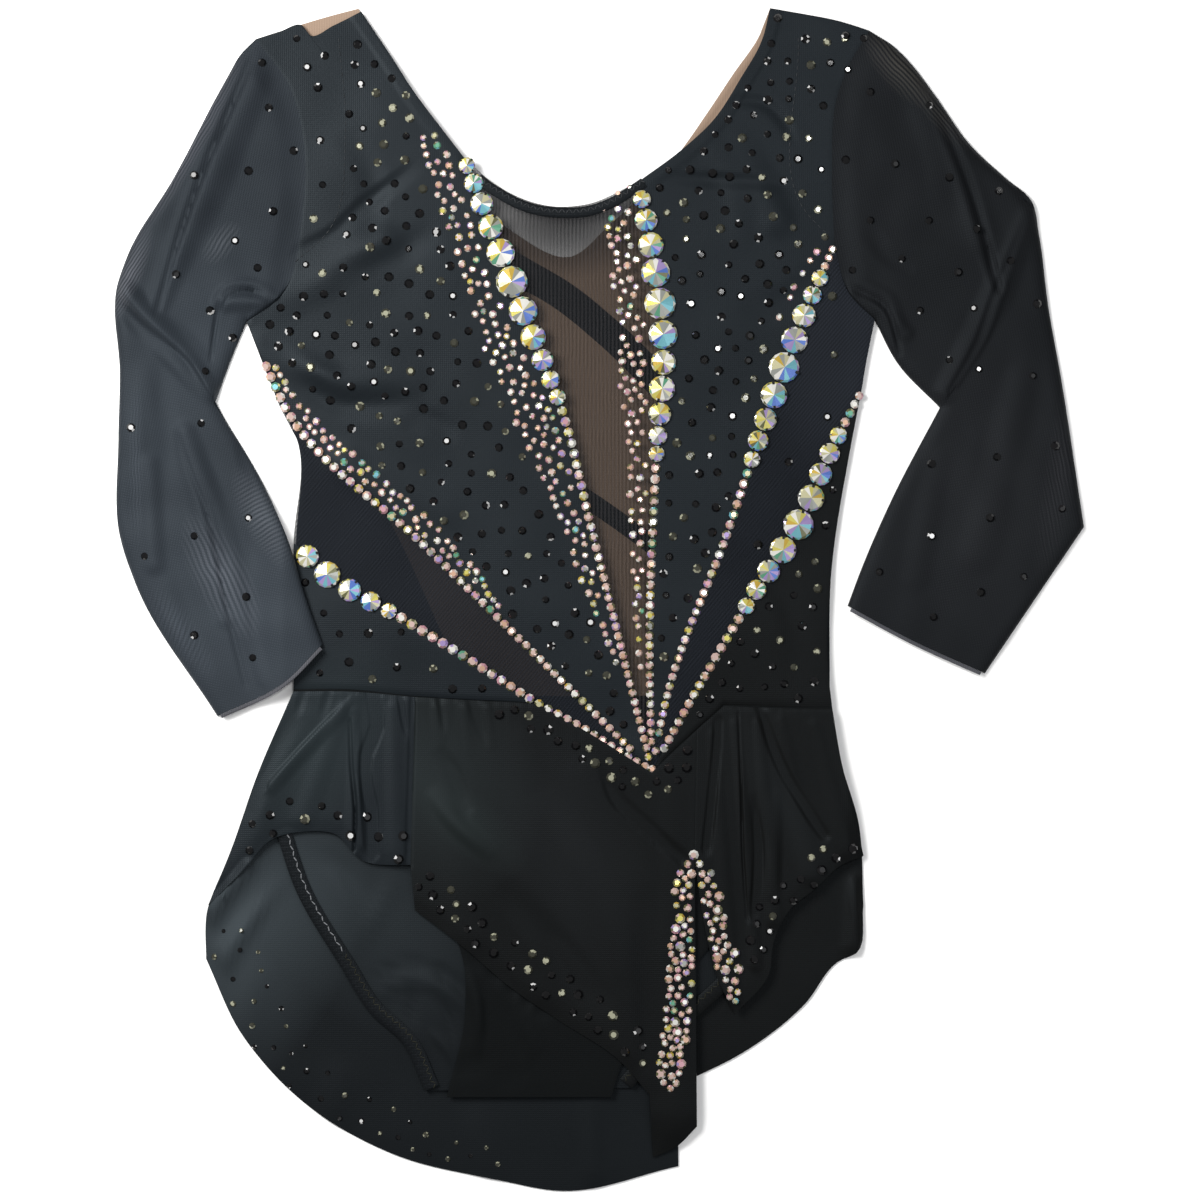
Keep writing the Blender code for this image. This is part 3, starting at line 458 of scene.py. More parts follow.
# Jets on the sleeves: their diameter and their places
SLEEVE_STONE = 3.7
SLEEVE_LEFT_STONES = [
    (-150, 238), (-130, 236), (-147, 218), (-136, 199), (-156, 190), (-180, 188), (-145, 172), (-162, 159),
    (-188, 144), (-152, 147), (-173, 128), (-163, 116), (-175, 101), (-208, 76), (-177, 78), (-156, 36),
    (-180, 28), (-202, 19), (-157, 1), (-180, -16), (-154, -26),
]
SLEEVE_RIGHT_STONES = [
    (109, 250), (117, 249), (110, 235), (120, 225), (146, 219), (109, 195), (131, 193), (155, 187),
    (177, 181), (120, 168), (146, 168), (167, 164), (182, 150), (134, 151), (159, 145), (112, 146),
    (142, 128), (166, 129), (194, 131), (155, 106), (168, 102), (192, 99), (202, 68), (147, 60), (176, 63),
    (173, 36), (147, 28), (205, 40), (124, 12), (188, 10), (169, 3), (148, -8),
]

# A soft oval on the cloth: its middle, half length, half width and angle
OVAL_COLUMNS = ("x", "y", "length", "width", "angle")

# Pale lines where the two layers of a sleeve's mesh cross: the oval, and the lines'
# angle, distance and colour
SHIMMER_COLUMNS = OVAL_COLUMNS + ("lines_angle", "period", "colour")
SLEEVE_LEFT_SHIMMER = [
    (-185, 201, 56, 9, 60, 30, 1.3, (0.060, 0.058, 0.068)),
    (-209, 143, 26, 6, 68, 34, 1.3, (0.060, 0.060, 0.068)),
    (-168, 158, 12, 7, 50, 35, 2.0, (0.030, 0.032, 0.036)),
    (-168, 10, 32, 13, 118, -24, 2.4, (0.044, 0.046, 0.054)),
    (-150, 36, 26, 9, 118, 62, 1.9, (0.040, 0.042, 0.048)),
    (-186, -14, 26, 8, 125, 20, 2.1, (0.014, 0.016, 0.020)),
    (-206, 62, 46, 4, 90, 0, 1.4, (0.014, 0.016, 0.019)),
]
SLEEVE_RIGHT_SHIMMER = [
    (133, 236, 24, 10, -49, -41, 1.7, (0.036, 0.033, 0.028)),
    (150, 216, 22, 6, -52, -38, 1.5, (0.022, 0.021, 0.019)),
    (205, 60, 60, 8, 80, -10, 1.6, (0.010, 0.010, 0.011)),
]

# Where a mesh is less see-through: the oval, and how much. The window is so above the
# back's neckline, and the right side window near the armhole
WINDOW_DENSE = [(-17, 172, 46, 30, 0, 0.34)]
SIDE_DENSE = [
    (109, 124, 76, 46, 77, 0.40),
    (101, 92, 50, 30, 77, 0.30),
]

# Painted sheen and light, soft places painted lighter on the cloth: the oval, and the colour that is added
PAINTED_LIGHT_COLUMNS = OVAL_COLUMNS + ("colour",)
LYCRA_PAINTED_LIGHT = [
    (-128, -66, 56, 34, 52, (0.0060, 0.0090, 0.0090)),
]
SLEEVE_LEFT_PAINTED_LIGHT = [
    (-184, 108, 70, 46, 62, (0.0080, 0.0100, 0.0120)),
    (-164, -6, 110, 90, 118, (0.0130, 0.0160, 0.0195)),
]
SLEEVE_RIGHT_PAINTED_LIGHT = [
    (168, 40, 90, 60, 80, (0.0042, 0.0043, 0.0048)),
]
DEEP_PAINTED_LIGHT = [
    (-82, -76, 66, 52, -50, (0.0080, 0.0110, 0.0118)),
    (-58, -100, 34, 14, -40, (0.0030, 0.0046, 0.0044)),
    (-14, -112, 70, 34, -70, (0.0030, 0.0034, 0.0040)),
    (82, -92, 46, 12, -62, (0.0024, 0.0030, 0.0034)),
]
INSIDE_PAINTED_LIGHT = [
    (-160, -146, 84, 52, 66, (0.0230, 0.0290, 0.0330)),
    (-100, -136, 66, 50, -50, (0.0090, 0.0115, 0.0130)),
]

# Cloths: colour, roughness, sheen, the threads' distance and relief in metres, how much
# the tone changes from place to place, and what else is set
CLOTHS = {
    "lycra": ((0.0062, 0.0080, 0.0098), 0.46, 0.03, 0.0009, 0.00005, 0.12, {
        "gloss": 0.12, "tones": LYCRA_PAINTED_LIGHT,
    }),
    # A darker copy of the lycra: painted shade for the pieces to the right and lower down, where less light
    # falls
    "lycra_painted_shade": ((0.0030, 0.0030, 0.0028), 0.50, 0.01, 0.0009, 0.00005, 0.12, {
        "gloss": 0.09, "tones": DEEP_PAINTED_LIGHT,
    }),
    # A still darker copy for the front brief: the front skirt's shadow painted into it
    "lycra_painted_shadow": ((0.0030, 0.0033, 0.0033), 0.55, 0.01, 0.0009, 0.00005, 0.12, {"gloss": 0.06}),
    "lycra_inside": ((0.0040, 0.0048, 0.0055), 0.55, 0.02, 0.0009, 0.00005, 0.12, {
        "gloss": 0.1, "tones": INSIDE_PAINTED_LIGHT,
    }),
    # One mesh for both sleeves: the left one's lighter colour is painted light, the right one's darker colour
    # is painted shade
    "sleeve_mesh_left": ((0.0124, 0.0152, 0.0194), 0.6, 0.05, 0.0011, 0.00007, 0.15, {
        "lines": 0.35, "tilt": 0.2, "shimmer": SLEEVE_LEFT_SHIMMER, "tones": SLEEVE_LEFT_PAINTED_LIGHT,
    }),
    "sleeve_mesh_right": ((0.0068, 0.0072, 0.0082), 0.6, 0.03, 0.0011, 0.00007, 0.15, {
        "lines": 0.35, "tilt": -0.2, "gloss": 0.1, "shimmer": SLEEVE_RIGHT_SHIMMER,
        "tones": SLEEVE_RIGHT_PAINTED_LIGHT,
    }),
    "mesh_window": ((0.025, 0.023, 0.024), 0.6, 0.05, 0.0017, 0.00008, 0.15, {
        "alpha": 0.32, "lines": 0.9, "gloss": 0.1, "dense": WINDOW_DENSE, "grain": 0.09,
    }),
    "mesh_side": ((0.0108, 0.0124, 0.0170), 0.6, 0.04, 0.0013, 0.00008, 0.15, {
        "alpha": 0.56, "lines": 0.5, "gloss": 0.1, "dense": SIDE_DENSE, "grain": 0.12, "tilt": 0.7,
    }),
    "raw_edge": ((0.075, 0.075, 0.085), 0.6, 0.1, 0.0008, 0.00008, 0.2, {"lines": 0.5}),
    "nude": ((0.27, 0.190, 0.138), 0.65, 0.15, 0.0011, 0.00005, 0.05, {"lines": 0.12}),
    "elastic": ((0.0034, 0.0039, 0.0046), 0.42, 0.02, 0.0007, 0.00006, 0.1, {"gloss": 0.1}),
}
TONE_SCALE = 16.0
FUZZ_SCALE = 900.0
SHEEN_ROUGHNESS = 0.4
SHEEN_TINT = (0.72, 0.87, 1.0, 1.0)
SPECULAR_TINT = (0.78, 0.9, 1.0, 1.0)
GRAIN_PERIOD = 0.0016

# Colour, roughness and metallic of the plain materials
PLAIN_LOOKS = {
    "thread": ((0.032, 0.035, 0.039), 0.45, 0.0),
    # Pale thread: a painted highlight on part of the left leg's stitches
    "thread_painted_highlight": ((0.55, 0.57, 0.60), 0.25, 0.6),
    "setting": ((0.02, 0.02, 0.02), 0.35, 0.6),
}

# Colour, roughness, metallic and coat of the dark stones; the pale looks are painted highlights on some
# facets
STONE_LOOKS = {
    "jet": ((0.003, 0.003, 0.0035), 0.07, 0.0, 0.2),
    "painted_glint": ((0.70, 0.70, 0.70), 0.1, 0.4, 0.8),
    "smoke": ((0.038, 0.038, 0.028), 0.12, 0.2, 0.35),
    "smoke_painted_highlight": ((0.30, 0.30, 0.22), 0.12, 0.2, 0.35),
}

# The roughness of their coat and their specular level, then the iridescent stones'
# roughness, metallic, coat, coat roughness and specular level
STONE_COAT = (0.04, 0.25)
FACET_LOOK = (0.22, 0.35, 0.45, 0.05, 0.5)

# Facet colours of the iridescent stones
FACETS = {
    "silver": (0.25, 0.26, 0.24),
    "white": (0.66, 0.65, 0.61),
    "olive": (0.11, 0.11, 0.05),
    "gold": (0.44, 0.30, 0.045),
    "lemon": (0.48, 0.43, 0.10),
    "cream": (0.44, 0.42, 0.26),
    "cyan": (0.14, 0.37, 0.43),
    "blue": (0.07, 0.14, 0.43),
    "lilac": (0.30, 0.22, 0.44),
    "rose": (0.46, 0.24, 0.28),
    "peach": (0.48, 0.30, 0.21),
    "blush": (0.52, 0.38, 0.34),
    "green": (0.09, 0.27, 0.17),
    "shade": (0.012, 0.012, 0.012),
}
FACET_ORDER = list(FACETS)

# Dark stones: the material of most facets, that of the facets with a painted highlight, and the chance of one
DARK_LOOKS = {"jet": ("jet", "painted_glint", 0.06), "smoke": ("smoke", "smoke_painted_highlight", 0.30)}

# Sides of the large stones and of the small ones
LARGE_SIDES = 14
SMALL_SIDES = 8


# Curves and patches in the plane of the table

def sampled(points, steps):
    """Points at equal steps along a smooth curve through the given points."""
    given = np.array(points, float)
    chord = np.linalg.norm(np.diff(given, axis=0), axis=1)
    slope = np.diff(given, axis=0) / chord[:, None]
    tangent = np.vstack([slope[:1], slope[-1:]])
    if len(given) > 2:
        before, after = chord[:-1, None], chord[1:, None]
        inner = (slope[1:] * before + slope[:-1] * after) / (before + after)
        tangent = np.vstack([slope[:1], inner, slope[-1:]])
    t = np.linspace(0, 1, 24, endpoint=False)[:, None]
    dense = []
    for i, length in enumerate(chord):
        start_part = (1 + 2 * t) * (1 - t) ** 2 * given[i]
        end_part = t * t * (3 - 2 * t) * given[i + 1]
        bend = t * (1 - t) ** 2 * tangent[i] - t * t * (1 - t) * tangent[i + 1]
        dense.append(start_part + end_part + bend * length)
    dense = np.vstack(dense + [given[-1:]])
    along = distances_along(dense)
    wanted = np.linspace(0, along[-1], steps + 1)
    return np.column_stack([np.interp(wanted, along, dense[:, k]) for k in (0, 1)])


def distances_along(line):
    return np.concatenate([[0], np.cumsum(np.linalg.norm(np.diff(line, axis=0), axis=1))])


def seam(name, fine=FINE):
    steps, points = SEAMS[name]
    return sampled(points, steps * fine)


def chain(*parts):
    """Edges joined end to end, each starting where the one before it ends."""
    return np.vstack([parts[0]] + [part[1:] for part in parts[1:]])


def from_tip(edge):
    """An edge whose first point is moved along it, so that a wedge ends blunt."""
    moved = edge.copy()
    moved[0] = edge[0] + TIP_START * (edge[1] - edge[0])
    return moved


def beside(edge, distance):
    """An edge's points moved sideways: to the left of its direction when positive."""
    direction = np.gradient(edge, axis=0)
    direction /= np.linalg.norm(direction, axis=1)[:, None]
    return edge + distance * np.column_stack([-direction[:, 1], direction[:, 0]])


def straight(first, last, steps):
    return np.linspace(first, last, steps + 1)


def patch(left, right, start, end):
    """Grid of points that fills four edges: a row for each step of left and right."""
    rows, columns = len(left), len(start)
    v = np.linspace(0, 1, rows)[:, None, None]
    u = np.linspace(0, 1, columns)[None, :, None]
    across = (1 - u) * left[:, None] + u * right[:, None]
    along = (1 - v) * start[None] + v * end[None]
    first = (1 - u) * start[0] + u * start[-1]
    last = (1 - u) * end[0] + u * end[-1]
    return across + along - ((1 - v) * first + v * last)


def nearest_on(line, x, y):
    """For each point: its distance to a line, the side it is on, and how far along."""
    best = np.full(np.shape(x), 1e9)
    side = np.zeros(np.shape(x))
    place = np.zeros(np.shape(x))
    along = distances_along(line)
    for k in range(len(line) - 1):
        dx, dy = line[k + 1] - line[k]
        length = math.hypot(dx, dy)
        t = np.clip(((x - line[k][0]) * dx + (y - line[k][1]) * dy) / (length * length), 0, 1)
        away_x, away_y = x - line[k][0] - t * dx, y - line[k][1] - t * dy
        away = np.hypot(away_x, away_y)
        closer = away < best
        best = np.where(closer, away, best)
        side = np.where(closer, np.sign(dx * away_y - dy * away_x), side)
        place = np.where(closer, (along[k] + t * length) / along[-1], place)
    return best, side, place


def distance_to(line, x, y):
    return nearest_on(line, x, y)[0]


def inside(outline, x, y):
    """Whether each point lies inside a closed outline."""
    within = np.zeros(np.shape(x), bool)
    for (x0, y0), (x1, y1) in zip(outline, np.roll(outline, -1, axis=0)):
        if y0 == y1:
            continue
        crosses = (y0 > y) != (y1 > y)
        within ^= crosses & (x < (x1 - x0) * (y - y0) / (y1 - y0) + x0)
    return within


# Heights above the table

def eased(low, high, value):
    """0 at low, 1 at high, with a soft start and end."""
    t = np.clip((value - low) / (high - low), 0.0, 1.0)
    return t * t * (3 - 2 * t)


def fold_height(folds, x, y):
    """The highest crest of the folds at each point."""
    highest = np.zeros(np.shape(x))
    for row in folds:
        fold = dict(zip(FOLD_COLUMNS, row))
        line = np.array([(fold["x0"], fold["y0"]), (fold["x1"], fold["y1"])], float)
        away, _, t = nearest_on(line, x, y)
        half_width = 0.5 * (fold["width0"] + t * (fold["width1"] - fold["width0"]))
        rise = fold["rise0"] + t * (fold["rise1"] - fold["rise0"])
        crest = rise * 0.5 * (1 + np.cos(math.pi * np.minimum(1, away / half_width)))
        highest = np.maximum(highest, crest)
    return highest


def crease_height(creases, x, y):
    """The sum of the finer ridges and troughs at each point."""
    total = np.zeros(np.shape(x))
    for row in creases:
        crease = dict(zip(CREASE_COLUMNS, row))
        line = sampled(crease["points"], 10)
        away, side, t = nearest_on(line, x, y)
        half_width = np.where(side > 0, crease["left"], crease["right"])
        start_part = crease["start"] * (1 - t) * (1 - 2 * t)
        middle_part = crease["middle"] * 4 * t * (1 - t)
        end_part = crease["end"] * t * (2 * t - 1)
        rise = start_part + middle_part + end_part
        total += rise * 0.5 * (1 + np.cos(math.pi * np.minimum(1, away / half_width)))
    return total


def unevenness(x, y, seed, shortest, longest, height, lean=(0.0, math.pi)):
    """Gentle waves of many directions and lengths, the same in each run."""
    rng = np.random.default_rng(seed)
    total = np.zeros(np.shape(x))
    for _ in range(WAVES):
        length = rng.uniform(shortest, longest)
        angle = rng.uniform(*lean)
        phase = rng.uniform(0, 2 * math.pi)
        total += np.cos(2 * math.pi * (x * math.cos(angle) + y * math.sin(angle)) / length + phase)
    return height * total / math.sqrt(WAVES)


def bodice_under(x, y):
    """Underside of the CAD wall: on the back at the sides and a low dome between them."""
    across = np.maximum(0.0, 1 - ((x - DOME_CENTRE_X) / DOME_HALF_WIDTH) ** 2)
    along = eased(-60, 0, y) * eased(262, 215, y)
    waist = LAYER * eased(20, -32, y)
    return LAYER + waist + DOME_RISE * across * along + fold_height(BODICE_FOLDS, x, y)


def bodice_top(x, y):
    top = bodice_under(x, y) + CLOTH_TOP + crease_height(BODICE_CREASES, x, y)
    return np.maximum(top + unevenness(x, y, *UNEVEN["bodice"]), LAYER + 0.3)


def skirt_floor(x, y):
    """What the front skirt lies on: the front brief, or the back skirt beside it."""
    on_brief = eased(-164, -148, x) * eased(121, 109, x) * eased(-250, -226, y)
    return LAYER + 2 * LAYER * on_brief + 1.3 * fold_height(SKIRT_BACK_FOLDS, x, y)


def gathers(x, y):
    """Small gathers under the waist seam, which die out downwards."""
    waist = np.interp(x, [-136, -28, 23, 55, 103], [-42, -47, -77, -48, -48.5])
    below = np.maximum(0.0, waist - y)
    pulled = eased(-140, -118, x) * eased(20, -20, x) + 0.7 * eased(50, 62, x)
    wave = np.cos(x * 0.93 + 1.7 * np.cos(x * 0.21)) + 0.6 * np.cos(x * 1.71 + 0.8)
    return 0.04 * wave * pulled * np.exp(-((below / 13.0) ** 2))


def skirt_top(x, y):
    floor = skirt_floor(x, y)
    top = floor + CLOTH_TOP + FOLD_SOFTENING * fold_height(SKIRT_FRONT_FOLDS, x, y)
    top += crease_height(SKIRT_FRONT_CREASES, x, y) + gathers(x, y)
    top += unevenness(x, y, *UNEVEN["front_skirt"], (-0.5, 0.5))
    return np.maximum(top, floor + 0.35)


def back_skirt_top(x, y):
    top = BACK_SKIRT_TOP + fold_height(SKIRT_BACK_FOLDS, x, y) + crease_height(SKIRT_BACK_CREASES, x, y)
    return np.maximum(top + unevenness(x, y, *UNEVEN["back_skirt"]), 0.6)


def back_top(x, y):
    return BACK_TOP + unevenness(x, y, *UNEVEN["back"])


def band_top(x, y):
    return back_top(x, y) + BAND_RISE


def back_brief_top(x, y):
    creased = BACK_BRIEF_TOP + crease_height(BRIEF_BACK_CREASES, x, y)
    return creased + unevenness(x, y, *UNEVEN["back_brief"])


def leg_binding_top(x, y):
    return np.full(np.shape(x), LEG_BINDING_TOP)


def neck_binding_top(x, y):
    return bodice_top(x, y) + NECK_BINDING_RISE


def front_brief_top(x, y):
    creased = FRONT_BRIEF_TOP + crease_height(BRIEF_FRONT_CREASES, x, y)
    return creased + unevenness(x, y, *UNEVEN["front_brief"])


def sleeve_outline(side):
    """The outer edge, the inner edge, the armhole and the cuff of a sleeve."""
    fine = SLEEVE_FINE
    if side == "left":
        outer_points = [
            (-153, 248.5), (-159.5, 242), (-166, 231), (-190, 186), (-209.5, 153.5), (-214.5, 139),
            (-213.3, 100), (-214, 70), (-213.3, 28), (-206, 6), (-170, -52),
        ]
        outer = sampled(outer_points, 22 * fine)
        armhole = seam("armhole_left", fine)[::-1]
        upper_inner = sampled([(-157, 123), (-164, 106), (-171, 87)], 7 * fine)
        lower_inner = sampled([(-171, 87), (-148, 48), (-137.5, 24), (-131, 2), (-123, -20)], 13 * fine)
        cuff_points = [(-170, -52), (-140, -37), (-123, -20)]
    else:
        outer_upper = [
            (119.6, 252.4), (131, 245), (140, 235.5), (149, 223.5), (165.5, 200.5), (179, 188), (192, 176),
            (195, 162), (199, 131), (205, 97), (215, 32),
        ]
        outer = chain(sampled(outer_upper, 16 * fine), sampled([(215, 32), (196, 4), (171, -33)], 6 * fine))
        armhole = chain(seam("armhole_right_lower", fine), seam("armhole_right_upper", fine))[::-1]
        upper_inner = sampled([(122, 124), (132, 105), (151, 85)], 7 * fine)
        lower_inner = sampled([(151, 85), (130, 45), (116, 13), (110, -3)], 13 * fine)
        cuff_points = [(171, -33), (140, -19), (110, -3)]
    underarm = UNDERARM_STEPS * fine
    inner = chain(armhole[-1 - underarm:], upper_inner, lower_inner)
    cuff = sampled(cuff_points, len(armhole) - 1 - underarm)
    return outer, inner, armhole[:-underarm], cuff


def left_cuff_lift(x, y):
    """The inner corner of the left cuff lies on the side of the bodice."""
    return LEFT_CUFF_LIFT * eased(-156, -139, x) * eased(60, 30, y)


def no_lift(x, y):
    return np.zeros(np.shape(x))


SLEEVES = {
    "left": (SLEEVE_LEFT_FOLDS, SLEEVE_LEFT_CREASES, left_cuff_lift),
    "right": (SLEEVE_RIGHT_FOLDS, SLEEVE_RIGHT_CREASES, no_lift),
}


def sleeve_top(side):
    """The height of a sleeve's upper face: it meets the bodice's at the armhole."""
    folds, creases, lift = SLEEVES[side]
    outer, inner, armhole, _ = sleeve_outline(side)
    edges = (outer[::SLEEVE_FINE], inner[UNDERARM_STEPS * SLEEVE_FINE::SLEEVE_FINE])

    def top(x, y):
        to_edge = np.minimum(distance_to(edges[0], x, y), distance_to(edges[1], x, y))
        near = np.clip(to_edge / EDGE_ROUNDING, 0, 1)
        rounded = np.sqrt(1 - (1 - near) ** 2)
        full = SLEEVE_SOFTENING[side] * fold_height(folds, x, y) + crease_height(creases, x, y)
        full += unevenness(x, y, *UNEVEN[f"sleeve_{side}"])
        own = SLEEVE_EDGE + rounded * np.maximum(SLEEVE_RISE + full, 0.5)
        seam_part = eased(ARMHOLE_BLEND, 0, distance_to(armhole[::SLEEVE_FINE], x, y))
        own = own * (1 - seam_part) + seam_part * (bodice_top(x, y) - 0.15)
        return own + lift(x, y)
    return top


# Materials

def new_material(name, colour, roughness, metallic=0.0):
    material = bpy.data.materials.new(name)
    material.use_nodes = True
    material.diffuse_color = (*colour, 1.0)
    shader = material.node_tree.nodes["Principled BSDF"]
    shader.inputs["Base Color"].default_value = (*colour, 1.0)
    shader.inputs["Roughness"].default_value = roughness
    shader.inputs["Metallic"].default_value = metallic
    return material, shader


def feed(material, node, socket, source):
    """Gives a socket a value, or joins it to an output of another node."""
    if isinstance(source, tuple) and isinstance(source[0], bpy.types.Node):
        material.node_tree.links.new(source[0].outputs[source[1]], node.inputs[socket])
    else:
        node.inputs[socket].default_value = source


def add_node(material, kind, inputs=(), **settings):
    """A shader node with its settings, and what each of its sockets is given."""
    node = material.node_tree.nodes.new(kind)
    for name, value in settings.items():
        setattr(node, name, value)
    for socket, source in dict(inputs).items():
        feed(material, node, socket, source)
    return node


def add_math(material, operation, *terms):
    return add_node(material, "ShaderNodeMath", enumerate(terms), operation=operation), "Value"


def blend(material, kind, amount, first, second):
    """Two colours blended. The numbers are the sockets of a mix node for colours."""
    sockets = {0: amount, 6: first, 7: second}
    return add_node(material, "ShaderNodeMix", sockets, data_type="RGBA", blend_type=kind), 2


def turned(material, place, angle):
    return add_node(material, "ShaderNodeMapping", {"Vector": place, "Rotation": (0.0, 0.0, angle)}), "Vector"


def add_wave(material, place, period, distortion, detail, detail_scale=1.0, direction="X"):
    """Parallel bands that are the given number of metres apart."""
    inputs = {
        "Vector": place, "Scale": 2 * math.pi / (20 * period), "Distortion": distortion, "Detail": detail,
        "Detail Scale": detail_scale,
    }
    return add_node(material, "ShaderNodeTexWave", inputs, bands_direction=direction)


def add_oval(material, place, x, y, length, width, angle):
    """A value that is 1 at a point of the cloth and 0 at the edge of an oval round it."""
    inputs = {
        "Vector": place,
        "Location": ((x - CENTRE_X) * MM, (y - CENTRE_Y) * MM, 0.0),
        "Rotation": (0.0, 0.0, math.radians(angle)),
        "Scale": (length * MM, width * MM, 1.0),
    }
    local = add_node(material, "ShaderNodeMapping", inputs, vector_type="TEXTURE"), "Vector"
    return add_node(material, "ShaderNodeTexGradient", {"Vector": local}, gradient_type="SPHERICAL"), "Fac"


def add_painted_light(material, place, below, tone):
    """Painted light: a soft oval where the cloth is painted lighter, as satin is along a broad fold."""
    oval = add_oval(material, place, *[tone[name] for name in OVAL_COLUMNS])
    return blend(material, "ADD", oval, below, (*tone["colour"], 1.0))


def add_shimmer(material, place, below, shimmer):
    """Pale wavy lines where two layers of mesh lie on each other, inside an oval."""
    oval = add_oval(material, place, *[shimmer[name] for name in OVAL_COLUMNS])
    lines = turned(material, place, math.radians(shimmer["lines_angle"]))
    wave = add_wave(material, lines, shimmer["period"] * MM, 5.5, 1.5, 0.35), "Fac"
    strength = add_math(material, "MULTIPLY", oval, wave)
    return blend(material, "ADD", strength, below, (*shimmer["colour"], 1.0))


def cloth_material(name, colour, roughness, sheen, period, relief, patches, alpha=1.0, lines=0.0, tilt=0.0,
                   gloss=0.15, shimmer=(), tones=(), dense=(), grain=0.0):
    """Knitted cloth: its thread pattern in relief and colour, over soft patches of tone, with ovals of
    painted sheen.
    """
    material, shader = new_material(name, colour, roughness)
    look = {
        "Sheen Weight": sheen, "Sheen Roughness": SHEEN_ROUGHNESS, "Sheen Tint": SHEEN_TINT,
        "Specular IOR Level": gloss, "Specular Tint": SPECULAR_TINT, "Alpha": alpha,
    }
    for socket, value in look.items():
        feed(material, shader, socket, value)
    place = add_node(material, "ShaderNodeTexCoord"), "Object"
    woven = turned(material, place, tilt)

    noise = {"Vector": place, "Scale": TONE_SCALE, "Detail": 3.0, "Roughness": 0.55}
    tone = add_node(material, "ShaderNodeTexNoise", noise), "Fac"
    ramp = add_node(material, "ShaderNodeValToRGB", {"Fac": tone})
    steps = ((0.3, 1 - patches), (0.7, 1 + patches))
    for element, (position, part) in zip(ramp.color_ramp.elements, steps):
        element.position = position
        element.color = (*[value * part for value in colour], 1.0)

    threads = [add_wave(material, woven, period, 0.6, 1.0, direction=direction) for direction in ("X", "Y")]
    weave = add_math(material, "MULTIPLY", (threads[0], "Fac"), (threads[1], "Fac"))
    last = blend(material, "MULTIPLY", lines, (ramp, "Color"), (threads[0], "Color"))
    for row in shimmer:
        last = add_shimmer(material, place, last, dict(zip(SHIMMER_COLUMNS, row)))
    # Ovals of painted sheen and light, where the cloth is painted lighter
    for row in tones:
        last = add_painted_light(material, place, last, dict(zip(PAINTED_LIGHT_COLUMNS, row)))
    feed(material, shader, "Base Color", last)
    if grain:
        ribs = add_wave(material, woven, GRAIN_PERIOD, 7.0, 2.0, 0.35), "Fac"
        opaque = add_math(material, "MULTIPLY_ADD", ribs, grain, alpha)
        for *oval, amount in dense:
            opaque = add_math(material, "MULTIPLY_ADD", add_oval(material, place, *oval), amount, opaque)
        feed(material, shader, "Alpha", opaque)

    noise = {"Vector": place, "Scale": FUZZ_SCALE, "Detail": 2.0}
    fuzz = add_node(material, "ShaderNodeTexNoise", noise), "Fac"
    height = add_math(material, "ADD", weave, fuzz)
    bump = add_node(material, "ShaderNodeBump", {"Strength": 1.0, "Distance": relief, "Height": height})
    feed(material, shader, "Normal", (bump, "Normal"))
    return material


def coated_material(name, colour, roughness, metallic, coat, coat_roughness, specular):
    material, shader = new_material(name, colour, roughness, metallic)
    look = {"Specular IOR Level": specular, "Coat Weight": coat, "Coat Roughness": coat_roughness}
    for socket, value in look.items():
        feed(material, shader, socket, value)
    return material


def make_materials():
    made = {name: cloth_material(name, *look, **extras) for name, (*look, extras) in CLOTHS.items()}
    for name, look in PLAIN_LOOKS.items():
        made[name] = new_material(name, *look)[0]
    for name, look in STONE_LOOKS.items():
        made[name] = coated_material(name, *look, *STONE_COAT)
    for name, colour in FACETS.items():
        made[name] = coated_material(f"facet_{name}", colour, *FACET_LOOK)
    return made


# Making objects

def make_object(name, points, faces, materials, numbers=None, smooth=True):
    """One object from points in millimetres. numbers gives each face's material."""
    placed = (np.asarray(points, float) - (CENTRE_X, CENTRE_Y, 0.0)) * MM
    mesh = bpy.data.meshes.new(name)
    mesh.from_pydata(placed.tolist(), [], [tuple(face) for face in faces])
    for material in materials:
        mesh.materials.append(material)
    if numbers is not None:
        mesh.polygons.foreach_set("material_index", np.asarray(numbers, np.int32))
    body = bmesh.new()
    body.from_mesh(mesh)
    bmesh.ops.recalc_face_normals(body, faces=body.faces)
    body.to_mesh(mesh)
    body.free()
    if smooth:
        mesh.shade_smooth()
        mesh.set_sharp_from_angle(angle=math.radians(SHARP_ANGLE))
    obj = bpy.data.objects.new(name, mesh)
    bpy.context.scene.collection.objects.link(obj)
    return obj


def ring_quads(first, second):
    """Quads between two closed loops of point numbers."""
    return np.column_stack([first, np.roll(first, -1), np.roll(second, -1), second])


def grid_quads(rows, columns):
    corner = np.arange(rows * columns).reshape(rows, columns)
    cells = (corner[:-1, :-1], corner[:-1, 1:], corner[1:, 1:], corner[1:, :-1])
    return np.column_stack([cell.ravel() for cell in cells])


def rim_of(rows, columns):
    corner = np.arange(rows * columns).reshape(rows, columns)
    return np.concatenate([corner[0, :-1], corner[:-1, -1], corner[-1, :0:-1], corner[:0:-1, 0]])


def outline_of(grid):
    """The grid's border as a closed line, thinned out."""
    rows, columns = grid.shape[:2]
    return grid.reshape(-1, 2)[rim_of(rows, columns)][::3]


def plan_area(grid):
    """Area of a grid in the plane, in square metres."""
    diagonal = grid[1:, 1:] - grid[:-1, :-1]
    other = grid[1:, :-1] - grid[:-1, 1:]
    cross = diagonal[..., 0] * other[..., 1] - diagonal[..., 1] * other[..., 0]
    return float(np.abs(cross).sum()) / 2 * MM * MM


def cut_size(grid):
    """Width and length in metres of the smallest rectangle that the piece is cut from."""
    points = outline_of(grid)
    best = None
    for angle in np.radians(np.arange(0, 90, 3)):
        turned = points @ np.array([[math.cos(angle), -math.sin(angle)], [math.sin(angle), math.cos(angle)]])
        size = (turned.max(axis=0) - turned.min(axis=0)) * MM
        if best is None or size[0] * size[1] < best[0] * best[1]:
            best = size
    return float(best[0]), float(best[1])


